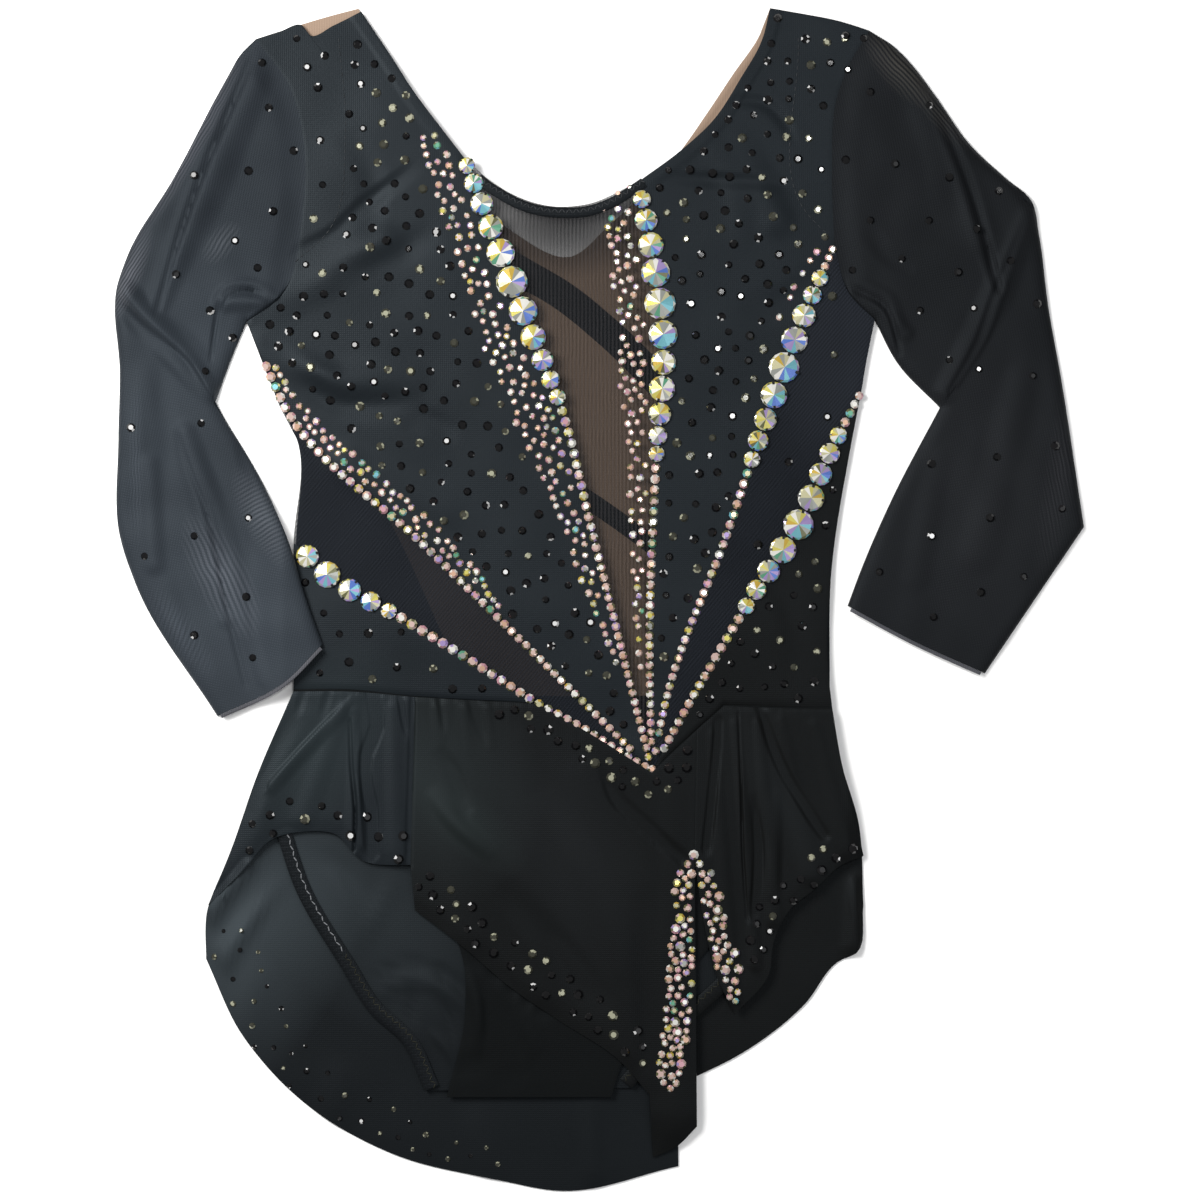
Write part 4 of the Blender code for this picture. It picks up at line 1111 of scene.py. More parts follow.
def cloth(name, grid, top, material, thickness=CLOTH):
    """A thin closed cloth over a grid, top(x, y) being the height of its upper face."""
    rows, columns = grid.shape[:2]
    plan = grid.reshape(-1, 2)
    upper = top(plan[:, 0], plan[:, 1])
    lower = upper - thickness
    rim = rim_of(rows, columns)
    upper[rim] -= RIM_SOFTNESS
    lower[rim] += RIM_SOFTNESS
    points = np.vstack([np.column_stack([plan, upper]), np.column_stack([plan, lower])])
    size = rows * columns
    cells = grid_quads(rows, columns)
    faces = np.vstack([cells, cells[:, ::-1] + size, ring_quads(rim, rim + size)])
    return make_object(f"{name}_cloth", points, faces, [material])


def dress(obj, slot, *nodes):
    """The piece rides on the garment and stands for the CAD nodes."""
    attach(obj, "root")
    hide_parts(*nodes)
    return obj


def declare(grid, layers=1, with_pieces=()):
    """Works out the size of cloth that the piece is cut from, but keeps none of it. A tube has two layers,
    and is measured all round.
    """
    width, length = cut_size(grid)
    area = plan_area(grid)
    if layers == 2:
        width = 2 * width
    area = area * layers


# Cloth pieces

def dipped(top, *lines):
    """The same height with a groove along each seam."""
    def height(x, y):
        value = top(x, y)
        for line in lines:
            value = value - SEAM_DIP * np.exp(-((distance_to(line, x, y) / SEAM_DIP_WIDTH) ** 2))
        return value
    return height


def with_casing(top, *lines):
    """The same height with a turned and stitched edge along each line."""
    def height(x, y):
        value = top(x, y)
        for line in lines:
            away = distance_to(line, x, y)
            value = value + CASING_RISE * eased(CASING_WIDTH + CASING_STEP, CASING_WIDTH - CASING_STEP, away)
        return value
    return height


def panel_edges():
    """Left and right edge, outer end, columns and kind of each front panel."""
    ray_a = chain(seam("ray_a_inner"), seam("ray_a_outer"))
    rays = {letter: from_tip(seam(f"ray_{letter}")) for letter in "bcdef"}
    rays["a"] = from_tip(ray_a)
    return {
        "side_left": (
            from_tip(seam("ray_a_outer")), from_tip(seam("waist_left")),
            [(-136, 25), (-135, -10), (-136, -40)], 4, "lycra",
        ),
        "mesh_left": (
            rays["b"], rays["a"],
            [(-149, 105), (-142, 85), (-135, 72), (-136, 25)], 6, "mesh_side",
        ),
        "chest_left": (
            chain(rays["b"], seam("side_left_armpit"), seam("armhole_left")),
            chain(rays["c"], seam("neck_left")),
            SHOULDER_LEFT_FRONT, 8, "lycra",
        ),
        "mesh_centre": (
            rays["c"], rays["d"],
            [(-60.5, 196), (-48, 185), (-40, 180), (-20, 174), (-6, 175), (17, 185)], 7, "mesh_window",
        ),
        "chest_right": (
            chain(rays["d"], seam("neck_right")),
            chain(rays["e"], seam("armhole_right_upper")),
            SHOULDER_RIGHT, 6, "lycra",
        ),
        "mesh_right": (
            rays["e"], chain(rays["f"], seam("side_right_armpit")),
            SEAMS["armhole_right_lower"][1][::-1], 3, "mesh_side",
        ),
        # The right side takes the darker copy of the lycra: painted shade
        "side_right": (
            rays["f"], from_tip(chain(seam("v_right"), seam("waist_right"))),
            [(116, 92), (111, 66), (103, 15), (101, -30), (103, -48)], 5, "lycra_painted_shade",
        ),
    }


def front_panels(materials):
    """The seven wedges of the front. Returns their grids."""
    sewn = [f"ray_{letter}" for letter in "bcdef"]
    sewn += ["ray_a_outer", "ray_a_inner", "waist_left", "waist_right", "v_right"]
    grooves = [seam(name, 2) for name in sewn]
    casings = [seam(name, 2) for name in ("neck_left", "neck_right")]
    grids = {}
    for name, (left, right, outer_edge, columns, kind) in panel_edges().items():
        end = sampled(outer_edge, columns * FINE)
        grid = patch(left, right, straight(left[0], right[0], columns * FINE), end)
        top = dipped(bodice_top, *grooves)
        if name in ("chest_left", "chest_right"):
            top = with_casing(top, *casings)
        slot, thickness = ("mesh_black", MESH) if kind.startswith("mesh") else ("lycra_black", CLOTH)
        panel = dress(cloth(name, grid, top, materials[kind], thickness), slot, name)
        grids[name] = grid
        if name != "mesh_centre":
            declare(grid)
            continue
        line = sampled(NECK_BINDING, 90)
        elastic = materials["elastic"]
        binding = ribbon("neck_binding", line, NECK_BINDING_WIDTH, neck_binding_top, elastic, 0.25)
        dress(binding, "elastic_black", "neck_binding")
        declare(grid, with_pieces=[binding])
    return grids


def ribbon(name, line, width, top, material, crown, ruche=0.0, ruche_length=2.4):
    """A narrow band along a line, with a crowned and, if wanted, gathered face."""
    columns = 9
    left, right = beside(line, width / 2), beside(line, -width / 2)
    ends = [straight(left[end], right[end], columns - 1) for end in (0, -1)]
    grid = patch(left, right, *ends)
    along = distances_along(line)[:, None] * np.ones((1, columns))
    across = np.linspace(-1, 1, columns)[None, :] * np.ones((len(line), 1))
    crowned = crown * (1 - across ** 2)
    wobble = np.sin(2 * math.pi * along / ruche_length + 1.3 * np.sin(along * 0.37) + 0.5 * across)
    extra = crowned + ruche * wobble * (0.5 + 0.5 * across ** 2)
    flat_extra = extra.ravel()

    def height(x, y):
        return top(x, y) + flat_extra
    return cloth(name, grid, height, material, RIBBON)


def back_panels(materials):
    """The nude middle of the back with its neck scoop, its bands and its black sides."""
    fine = HIDDEN_FINE
    side_left = sampled([(-135, -43.5), (-135, 25), (-135, 72), (-142, 86), (-157, 123)], 8 * fine)
    side_right = sampled([(102, -43.5), (103, 15), (111, 66), (118, 104), (122, 124)], 8 * fine)
    inset_left = sampled([(-58, -43.5), (-70, -16), (-93, 34), (-125, 88), (-157, 123)], 8 * fine)
    inset_right = sampled([(30, -43.5), (46, 22), (82, 84), (122, 124)], 8 * fine)
    armhole_right = chain(seam("armhole_right_lower", fine), seam("armhole_right_upper", fine))
    shoulder_left = sampled(SHOULDER_LEFT_BACK, 4 * fine)
    neck_points = [
        (-107.3, 262.3), (-97, 236), (-68, 194), (-40, 164), (-13, 152), (4, 166), (35, 198), (47, 215),
        (59, 233), (71, 250.7), (75.5, 262.3),
    ]
    neckline = sampled(neck_points, 18 * fine)
    shoulder_right = sampled(SHOULDER_RIGHT, 3 * fine)
    top = chain(shoulder_left, neckline, shoulder_right)
    waist = straight(inset_left[0], inset_right[0], len(top) - 1)
    left = chain(inset_left, seam("armhole_left", fine))
    grid = patch(left, chain(inset_right, armhole_right), waist, top)
    edge_line = sampled(neck_points, 60)

    def raised_edge(x, y):
        return back_top(x, y) + 0.30 * eased(3.2, 2.2, distance_to(edge_line, x, y))
    back = dress(cloth("back_bodice", grid, raised_edge, materials["nude"]), "mesh_nude", "back_bodice")
    declare(grid, with_pieces=back_bands(materials))
    for name, first, second in (
        ("back_side_left", side_left, inset_left),
        ("back_side_right", inset_right, side_right),
    ):
        first, second = from_tip(first[::-1]), from_tip(second[::-1])
        tip = straight(first[0], second[0], 4 * fine)
        waist = straight(first[-1], second[-1], 4 * fine)
        grid = patch(first, second, tip, waist)
        side = dress(cloth(name, grid, back_top, materials["lycra_inside"]), "lycra_black", name)
        declare(grid)


def back_bands(materials):
    bands = {
        "back_band_1": (13.0, [(-62, 161), (-34, 145), (-17, 135), (4, 118), (36, 86)]),
        "back_band_2": (8.0, [(-34, 62), (-5, 44), (8, 35), (34, 16)]),
    }
    made = []
    for name, (width, points) in bands.items():
        band = ribbon(name, sampled(points, 70), width, band_top, materials["lycra"], 0.05)
        made.append(dress(band, "lycra_black", name))
    return made


def sleeve(side, materials):
    """A flattened tube of mesh, rounded at its folded edges and open at both ends."""
    outer, inner, armhole, cuff = sleeve_outline(side)
    lift = SLEEVES[side][2]
    top = sleeve_top(side)
    grid = patch(outer, inner, armhole, cuff)
    rows, columns = grid.shape[:2]
    plan = grid.reshape(-1, 2)
    x, y = plan[:, 0], plan[:, 1]
    upper = top(x, y).reshape(rows, columns)
    lower = (SLEEVE_UNDER + lift(x, y)).reshape(rows, columns)
    middle = (upper[:, (0, -1)] + lower[:, (0, -1)]) / 2
    upper[:, (0, -1)] = middle + SLEEVE_EDGE_HALF
    lower[:, (0, -1)] = middle - SLEEVE_EDGE_HALF
    narrowed = grid.copy()
    for edge, towards in ((0, 1), (-1, -2)):
        narrowed[:, edge] = grid[:, edge] + SLEEVE_NARROWING * (grid[:, towards] - grid[:, edge])
    inner_upper = np.maximum(upper - MESH, lower + MESH * 1.2)
    inner_upper[:, (0, -1)] = middle + SLEEVE_INNER_HALF
    inner_lower = np.minimum(lower + MESH, inner_upper - SLEEVE_INNER_HALF)
    inner_lower[:, (0, -1)] = middle - SLEEVE_INNER_HALF
    rings = []
    for flat, high, low in ((grid, upper, lower), (narrowed, inner_upper, inner_lower)):
        over = np.dstack([flat, high])
        under = np.dstack([flat, low])[:, ::-1]
        rings.append(np.concatenate([over, under], axis=1))
    ring = 2 * columns
    points = np.vstack([part.reshape(-1, 3) for part in rings])
    numbers = np.arange(2 * rows * ring).reshape(2, rows, ring)
    faces = []
    for shell in numbers:
        for row in range(rows - 1):
            faces.append(ring_quads(shell[row], shell[row + 1]))
    faces.append(ring_quads(numbers[0, 0], numbers[1, 0]))
    faces.append(ring_quads(numbers[0, -1], numbers[1, -1]))
    name = f"sleeve_{side}"
    # The sleeves' mesh colours differ by painted light and shade
    tube = make_object(f"{name}_cloth", points, np.vstack(faces), [materials[f"sleeve_mesh_{side}"]])
    obj = dress(tube, "mesh_black", name)
    line = beside(sampled(cuff[2:-2], 60), -0.9 if side == "left" else 0.9)

    def edge_top(x, y):
        return top(x, y) + CUFF_EDGE_RISE
    edge = ribbon(f"cuff_{side}", line, 1.6, edge_top, materials["raw_edge"], 0.1)
    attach(edge, "root")
    declare(grid, layers=2, with_pieces=[edge])


def back_skirt(materials):
    """The two back panels of the skirt. Returns their grids."""
    fine = HIDDEN_FINE
    grids = {}
    hem_points = [
        (-175, -160), (-160, -192), (-130, -225), (-91, -247), (-46, -258), (-18, -263), (34.5, -252),
    ]
    pieces = {
        "skirt_back_left": (
            sampled([(-136, -43), (-152, -78), (-164, -112), (-175, -142), (-175, -160)], 12 * fine),
            straight((34.5, -43), (34.8, -252), 12 * fine),
            straight((-136, -43), (34.5, -43), 18 * fine),
            sampled(hem_points, 18 * fine),
        ),
        "skirt_back_right": (
            sampled([(34.5, -43), (37, -125), (43, -212)], 9 * fine),
            sampled([(102.5, -48), (107, -72), (115, -100), (117, -136)], 9 * fine),
            straight((34.5, -43), (102.5, -48), 9 * fine),
            sampled([(43, -212), (61, -203), (91, -180), (106, -161), (114, -157), (117, -136)], 9 * fine),
        ),
    }
    for name, edges in pieces.items():
        grid = patch(*edges)
        # The left back panel takes the inside cloth with its painted light, the right one the darker lycra:
        # painted shade
        tone = "lycra_inside" if name == "skirt_back_left" else "lycra_painted_shade"
        obj = dress(cloth(name, grid, back_skirt_top, materials[tone]), "lycra_black", name)
        declare(grid)
        grids[name] = grid
    return grids


LEG_LEFT = [(-142, -98), (-132, -128), (-112, -162), (-100, -181), (-85, -195), (-74.5, -217)]
LEG_RIGHT = [(104, -99), (92, -122), (74, -146), (54, -171), (41, -183), (26, -198), (11.5, -215)]


def briefs(materials):
    """The back brief with its leg bindings, and the higher cut front brief."""
    fine = HIDDEN_FINE
    outer_left = beside(sampled(LEG_LEFT, 8 * fine), -BINDING_WIDTH / 2)
    outer_right = beside(sampled(LEG_RIGHT, 8 * fine), BINDING_WIDTH / 2)
    left = chain(sampled([(-134, -44), tuple(outer_left[0])], 3 * fine), outer_left)
    right = chain(sampled([(101, -49), tuple(outer_right[0])], 3 * fine), outer_right)
    start, end = straight(left[0], right[0], 20 * fine), straight(left[-1], right[-1], 20 * fine)
    grid = patch(left, right, start, end)
    back = cloth("back_brief", grid, back_brief_top, materials["lycra_inside"])
    dress(back, "lycra_black", "back_brief")
    bindings = []
    for name, points in {"leg_binding_left": LEG_LEFT, "leg_binding_right": LEG_RIGHT}.items():
        line = sampled(points, 420)
        # The right binding takes the darker copy of the lycra: painted shade
        kind = "elastic" if name == "leg_binding_left" else "lycra_painted_shade"
        band = ribbon(name, line, BINDING_WIDTH, leg_binding_top, materials[kind], 0.35, 0.025)
        bindings.append(dress(band, "elastic_black", name))
    declare(grid, with_pieces=bindings)

    waist = chain(
        seam("waist_left", fine)[::-1], seam("ray_a_inner", fine)[::-1], seam("v_right", fine),
        seam("waist_right", fine),
    )
    left_leg = [(-141, -94), (-118, -99), (-92, -110), (-70, -138), (-61, -159), (-60, -186), (-68, -221)]
    right_leg = [(104, -92), (88, -106), (62, -138), (44, -160), (30, -178), (9, -208), (5, -221)]
    left = chain(sampled([(-136, -40), (-141, -94)], 3 * fine), sampled(left_leg, 9 * fine))
    right = chain(sampled([(103, -48), (104, -92)], 3 * fine), sampled(right_leg, 9 * fine))
    grid = patch(left, right, waist, straight((-68, -221), (5, -221), len(waist) - 1))
    # Its cloth is darker still: the front skirt's shadow is painted into it
    front = cloth("front_brief", grid, front_brief_top, materials["lycra_painted_shadow"])
    dress(front, "lycra_black", "front_brief")
    declare(grid)


def skirt_edges():
    left_pleat, right_pleat = seam("skirt_left_pleat"), seam("skirt_right_pleat")
    fine = FINE
    return {
        "skirt_front_left": (
            sampled([(-136, -41), (-152, -78), (-164, -112), (-174, -136)], 8 * fine),
            left_pleat,
            sampled([(-136, -41), (-112, -41), (-82, -43.5)], 18 * fine),
            sampled([
                (-174, -136), (-157, -119), (-146, -107), (-130, -103), (-118, -104), (-105, -116),
                (-84, -118),
            ], 18 * fine),
        ),
        "skirt_front_centre": (
            chain(left_pleat, straight((-84, -118), (-82, -138), 2 * fine)),
            chain(right_pleat, straight((42, -116), (43, -234), 5 * fine)),
            chain(
                sampled([(-82, -43.5), (-28, -46.5)], 9 * fine),
                sampled([(-28, -46.5), (-8, -57.6), (23, -77)], 5 * fine),
                straight((23, -77), (43, -58), 5 * fine),
            ),
            chain(
                sampled([
                    (-82, -138), (-61, -154), (-40, -172), (-18, -187), (9, -205), (22, -220),
                ], 14 * fine),
                straight((22, -220), (23.5, -248), 1 * fine),
                sampled([(23.5, -248), (34, -243), (43, -234)], 4 * fine),
            ),
        ),
        "skirt_front_right": (
            chain(
                right_pleat,
                sampled([(42, -116), (44.5, -134), (47.8, -152), (52, -168), (60, -184)], 5 * fine),
            ),
            sampled([(103, -48.6), (107, -72), (112, -92), (117, -114)], 10 * fine),
            chain(
                straight((43, -58), (55, -47.5), 4 * fine),
                sampled([(55, -47.5), (89, -48.6), (103, -48.6)], 14 * fine),
            ),
            sampled([
                (60, -184), (75, -166), (77, -152), (84, -138), (96, -128), (107, -118), (117, -114),
            ], 18 * fine),
        ),
    }


def front_skirt(materials):
    """The three front panels of the skirt. Returns their grids."""
    grids = {}
    waist = [seam(name, 2) for name in ("waist_left", "waist_right")]
    for name, edges in skirt_edges().items():
        grid = patch(*edges)
        hem = edges[3][::FINE]

        def top(x, y, hem=hem):
            droop = 0.5 * np.exp(-((distance_to(hem, x, y) / 4.0) ** 2))
            return np.maximum(dipped(skirt_top, *waist)(x, y) - droop, skirt_floor(x, y) + 0.3)
        # The left front panel takes the plain lycra, the others its darker copy: painted shade
        tone = "lycra" if name == "skirt_front_left" else "lycra_painted_shade"
        obj = dress(cloth(name, grid, top, materials[tone]), "lycra_black", name)
        declare(grid)
        grids[name] = grid
    return grids


# Stones

def settle(top, x, y):
    """For each place on the cloth: x, y, its height and the slopes there."""
    step = 1.2
    slope_x = (top(x + step, y) - top(x - step, y)) / (2 * step)
    slope_y = (top(x, y + step) - top(x, y - step)) / (2 * step)
    return np.column_stack([x, y, top(x, y), slope_x, slope_y])


class StoneMesh:
    """Collects faceted solids, and makes one object of them."""

    def __init__(self):
        self.points, self.faces, self.numbers = [], [], []
        self.count = 0

    def add(self, points, faces, numbers, place, spin, tilt=(0.0, 0.0)):
        """Points in millimetres about the middle of the base, turned onto the cloth."""
        x, y, z, slope_x, slope_y = place
        up = np.array([-slope_x - tilt[0], -slope_y - tilt[1], 1.0])
        up /= np.linalg.norm(up)
        side = np.cross(np.array([-math.sin(spin), math.cos(spin), 0.0]), up)
        side /= np.linalg.norm(side)
        axes = np.array([side, np.cross(up, side), up])
        self.points.append(points @ axes + (x, y, z))
        self.faces += [tuple(corner + self.count for corner in face) for face in faces]
        self.numbers += numbers
        self.count += len(points)

    def build(self, name, materials):
        return make_object(name, np.vstack(self.points), self.faces, materials, self.numbers, smooth=False)


def ring_points(count, radius, height, turn=0.0):
    angle = 2 * math.pi * (np.arange(count) + turn) / count
    return np.column_stack([radius * np.cos(angle), radius * np.sin(angle), np.full(count, height)])


def large_stone(diameter, spin, rng):
    """A round pointed stone: long wedges from its tip to a narrow bevelled edge."""
    count = LARGE_SIDES
    radius = diameter / 2
    peak = 0.15 * diameter
    base = 1.0
    points = np.vstack([
        ring_points(count, radius, 0.0),
        ring_points(count, radius, base),
        ring_points(count, 0.86 * radius, base + 0.30 * peak, 0.5),
        [[0.0, 0.0, base + peak]],
    ])
    tip = 3 * count
    faces, numbers = [tuple(range(count))[::-1]], [FACET_ORDER.index("shade")]
    # The pale yellow side of every stone faces the upper left, towards the key lamp: painted light over the
    # coating's own colours
    lit_side = math.radians(130) + rng.normal(0, 0.5) - spin
    bias = rng.choice([0.45, 0.15, -0.35], p=[0.5, 0.25, 0.25])
    for k in range(count):
        after = (k + 1) % count
        before = (k - 1) % count
        angle = 2 * math.pi * (k + 1) / count - lit_side
        faces.append((k, after, count + after, count + k))
        numbers.append(FACET_ORDER.index("olive"))
        faces.append((2 * count + k, 2 * count + after, tip))
        numbers.append(large_facet(angle, rng, 0.0, bias))
        faces.append((count + k, count + after, 2 * count + k))
        numbers.append(large_facet(angle, rng, 0.12, bias))
        faces.append((count + k, 2 * count + k, 2 * count + before))
        numbers.append(large_facet(angle, rng, 0.12, bias))
    return points, faces, numbers


def large_facet(angle, rng, darker, bias):
    """Coating colours, with painted light: yellow on the lit side of a stone, blue and lilac on the other,
    silver between.
    """
    if rng.random() < 0.10 + darker:
        return FACET_ORDER.index(rng.choice(["olive", "silver", "green", "olive"]))
    toward_lit_side = math.cos(angle) + bias + rng.normal(0, 0.25)
    if toward_lit_side > 0.35:
        names = ["lemon", "gold", "lemon", "cream", "cream", "white"]
    elif toward_lit_side < -0.55:
        names = ["cyan", "blue", "lilac", "silver", "blue", "cyan"]
    else:
        names = ["silver", "white", "cream", "silver", "lilac", "white"]
    return FACET_ORDER.index(rng.choice(names))


SMALL_TONES = [
    (0.56, ["blush", "peach", "white", "blush", "rose"]),
    (0.16, ["rose", "blush", "white", "lilac", "blush"]),
    (0.12, ["cream", "lemon", "white", "blush", "gold"]),
    (0.06, ["green", "cyan", "silver", "cream", "green"]),
    (0.10, ["white", "blush", "white", "silver", "lilac"]),
]


def small_stone(diameter):
    """A flat-backed stone: a girdle, a sloping crown and a flat table."""
    sides = SMALL_SIDES
    radius = diameter / 2
    points = np.vstack([
        ring_points(sides, radius, 0.0),
        ring_points(sides, radius, 0.16 * radius),
        ring_points(sides, 0.56 * radius, 0.58 * radius),
    ])
    faces = [tuple(range(sides))[::-1], tuple(range(2 * sides, 3 * sides))]
    for k in range(sides):
        after = (k + 1) % sides
        faces.append((k, after, sides + after, sides + k))
        faces.append((sides + k, sides + after, 2 * sides + after, 2 * sides + k))
    return points, faces


def small_colours(rng):
    """Colour numbers of a small iridescent stone's faces."""
    tone = rng.choice(len(SMALL_TONES), p=[row[0] for row in SMALL_TONES])
    names = SMALL_TONES[tone][1]
    numbers = [FACET_ORDER.index("shade"), FACET_ORDER.index(rng.choice(names[:4]))]
    for _ in range(SMALL_SIDES):
        numbers.append(FACET_ORDER.index("shade"))
        numbers.append(FACET_ORDER.index("olive" if rng.random() < 0.22 else rng.choice(names)))
    return numbers


class Layout:
    """Where stones lie, so that no two overlap."""

    def __init__(self):
        self.places = np.empty((0, 3))
        self.stones = []

    def fits(self, x, y, diameter, room):
        away = np.hypot(self.places[:, 0] - x, self.places[:, 1] - y)
        return bool(np.all(away > room * (self.places[:, 2] + diameter) / 2))

    def clear_of(self, kinds, x, y, distance):
        for kind, sx, sy, _, _ in self.stones[::-1]:
            if kind in kinds and math.hypot(sx - x, sy - y) < distance:
                return False
        return True

    def put(self, kind, x, y, diameter, top):
        self.places = np.vstack([self.places, (x, y, diameter)])
        self.stones.append((kind, x, y, diameter, top))

    def settled(self):
        """Each stone's place on its cloth."""
        x = self.places[:, 0]
        y = self.places[:, 1]
        places = np.zeros((len(self.stones), 5))
        for top in {stone[4] for stone in self.stones}:
            chosen = np.array([stone[4] is top for stone in self.stones])
            places[chosen] = settle(top, x[chosen], y[chosen])
        return places


def ray_line(letter):
    """A ray's line from its outer end to the point of the V."""
    if letter == "a":
        points = SEAMS["ray_a_outer"][1][::-1] + SEAMS["ray_a_inner"][1][::-1][1:]
    else:
        points = SEAMS[f"ray_{letter}"][1][::-1]
    return sampled(points, 300)


def point_at(line, distance):
    along = distances_along(line)
    return tuple(float(np.interp(distance, along, line[:, k])) for k in (0, 1))


def lay_large(layout):
    """Places the large stones. Returns how far along each ray they reach."""
    ends = {}
    for letter, (first_at, gap, diameters) in LARGE_ROWS.items():
        line = ray_line(letter)
        at = first_at
        before = None
        for diameter in diameters:
            if before is not None:
                at += (before + diameter) / 2 + gap
            layout.put(f"large_{letter}", *point_at(line, at), diameter, bodice_top)
            before = diameter
        ends[letter] = at + before / 2
    return ends


def lay_rows(layout, ends):
    for row in SMALL_ROWS:
        entry = dict(zip(SMALL_ROW_COLUMNS, row))
        line = ray_line(entry["ray"])
        length = distances_along(line)[-1]
        start = entry["start"] if entry["start"] is not None else ends[entry["ray"]] + 2.8
        end = entry["end"] if entry["end"] is not None else length
        at = start
        while at <= end:
            part = (at - start) / max(end - start, 1.0)
            diameter = entry["first"] + part * (entry["last"] - entry["first"])
            x, y = point_at(line, at)
            if layout.fits(x, y, diameter, 0.9):
                layout.put("pearly", x, y, diameter, bodice_top)
            at += diameter + SMALL_GAP


def lay_clouds(layout, grids, rng):
    """Small stones in clouds beside the rays, on the front of the garment alone."""
    outlines = [outline_of(grids[name]) for name in panel_edges()]
    necks = [seam(name, 2) for name in ("neck_left", "neck_right", "armhole_left")]
    sizes = MIXES["small"][0]
    for row in CLOUDS:
        cloud = dict(zip(CLOUD_COLUMNS, row))
        line = ray_line(cloud["ray"])
        outward = (line[0] - line[4]) / np.linalg.norm(line[0] - line[4])
        line = np.vstack([line[0] + CLOUD_REACH * outward, line])
        along = distances_along(line) - CLOUD_REACH
        normal = beside(line, cloud["side"]) - line
        bounds = np.array(cloud["rows"], float)
        tries = int((bounds[-1, 0] - bounds[0, 0]) * CLOUD_TRIES)
        at = rng.uniform(bounds[0, 0], bounds[-1, 0], tries)
        near, far = (np.interp(at, bounds[:, 0], bounds[:, k]) for k in (1, 2))
        away = near + (far - near) * rng.uniform(0, 1, tries) ** 1.3
        x, y = (np.interp(at, along, line[:, k]) + away * np.interp(at, along, normal[:, k]) for k in (0, 1))
        keep = np.zeros(tries, bool)
        for outline in outlines:
            keep |= inside(outline, x, y)
        for neck in necks:
            keep &= distance_to(neck, x, y) > NECK_MARGIN
        diameters = rng.choice(sizes, tries)
        for k in np.flatnonzero(keep):
            if layout.fits(x[k], y[k], diameters[k], cloud["room"]):
                layout.put("pearly", x[k], y[k], diameters[k], bodice_top)


def lay_bands(layout, grids, rng):
    """Stones scattered along bands, those of a hem or slit only where their panel is."""
    for x, y, diameter in SLIT_TOP_STONES:
        layout.put("pearly", x, y, diameter, skirt_top)
    for mix, room, panel, rows in BANDS.values():
        points = np.array(rows, float)
        along = distances_along(points[:, :2])
        tries = int(along[-1] * BAND_TRIES * points[:, 2].mean())
        at = rng.uniform(0, along[-1], tries)
        x, y, half = (np.interp(at, along, points[:, k]) for k in (0, 1, 2))
        ahead = [np.interp(at + 1, along, points[:, k]) for k in (0, 1)]
        behind = [np.interp(at - 1, along, points[:, k]) for k in (0, 1)]
        dx, dy = ahead[0] - behind[0], ahead[1] - behind[1]
        offset = rng.uniform(-1, 1, tries) * half / np.hypot(dx, dy)
        x, y = x - dy * offset, y + dx * offset
        sizes, kinds = MIXES[mix]
        diameters = rng.choice(sizes, tries)
        chosen = rng.choice(list(kinds), tries, p=list(kinds.values()))
        outline = outline_of(grids[panel])
        keep = inside(outline, x, y) & (distance_to(outline, x, y) > diameters / 2 - 0.2)
        top = back_skirt_top if panel.startswith("skirt_back") else skirt_top
        for k in np.flatnonzero(keep):
            if layout.fits(x[k], y[k], diameters[k], room):
                layout.put(str(chosen[k]), x[k], y[k], diameters[k], top)


def lay_panels(layout, grids, rng):
    """Dark stones spread over the panels, none near another or on the rays."""
    for name, spacing in DARK_PANELS.items():
        outline = outline_of(grids[name])
        low, high = outline.min(axis=0), outline.max(axis=0)
        tries = int((high - low).prod() / PANEL_AREA_FOR_TRY)
        xs, ys = rng.uniform(low[0], high[0], tries), rng.uniform(low[1], high[1], tries)
        keep = inside(outline, xs, ys) & (distance_to(outline, xs, ys) > DARK_MARGIN)
        for x, y in zip(xs[keep], ys[keep]):
            diameter = rng.choice(DARK_SIZES)
            distance = spacing * rng.choice(DARK_SPREADS)
            if x < QUIET_SHOULDER[0] and y > QUIET_SHOULDER[1]:
                distance *= QUIET_SHOULDER[2]
            if layout.fits(x, y, diameter, 1.3) and layout.clear_of(("jet", "smoke"), x, y, distance):
                kind = rng.choice(["jet", "smoke"], p=[0.7, 0.3])
                layout.put(kind, x, y, diameter, bodice_top)


def lay_sleeves(layout, rng):
    for side, places in (("left", SLEEVE_LEFT_STONES), ("right", SLEEVE_RIGHT_STONES)):
        top = sleeve_top(side)
        for x, y in places:
            layout.put("jet", x, y, SLEEVE_STONE * rng.uniform(0.9, 1.1), top)


def claws(mesh, place, diameter, rng):
    """Four small prongs that hold a large stone at its edge."""
    radius = diameter / 2
    inner, outer, half = 0.80 * radius, 1.03 * radius, 0.085 * radius + 0.18
    low, high = 0.6, 1.75
    points = np.array([
        (inner, -half, 1.2), (outer, -half, low), (outer, half, low), (inner, half, 1.2),
        (inner, -half * 0.7, high), (outer, -half * 0.8, 1.25), (outer, half * 0.8, 1.25),
        (inner, half * 0.7, high),
    ])
    faces = [(0, 3, 2, 1), (4, 5, 6, 7), (0, 1, 5, 4), (1, 2, 6, 5), (2, 3, 7, 6), (3, 0, 4, 7)]
    start = rng.uniform(0, math.pi / 2)
    for k in range(4):
        mesh.add(points, faces, [0] * 6, place, start + k * math.pi / 2)


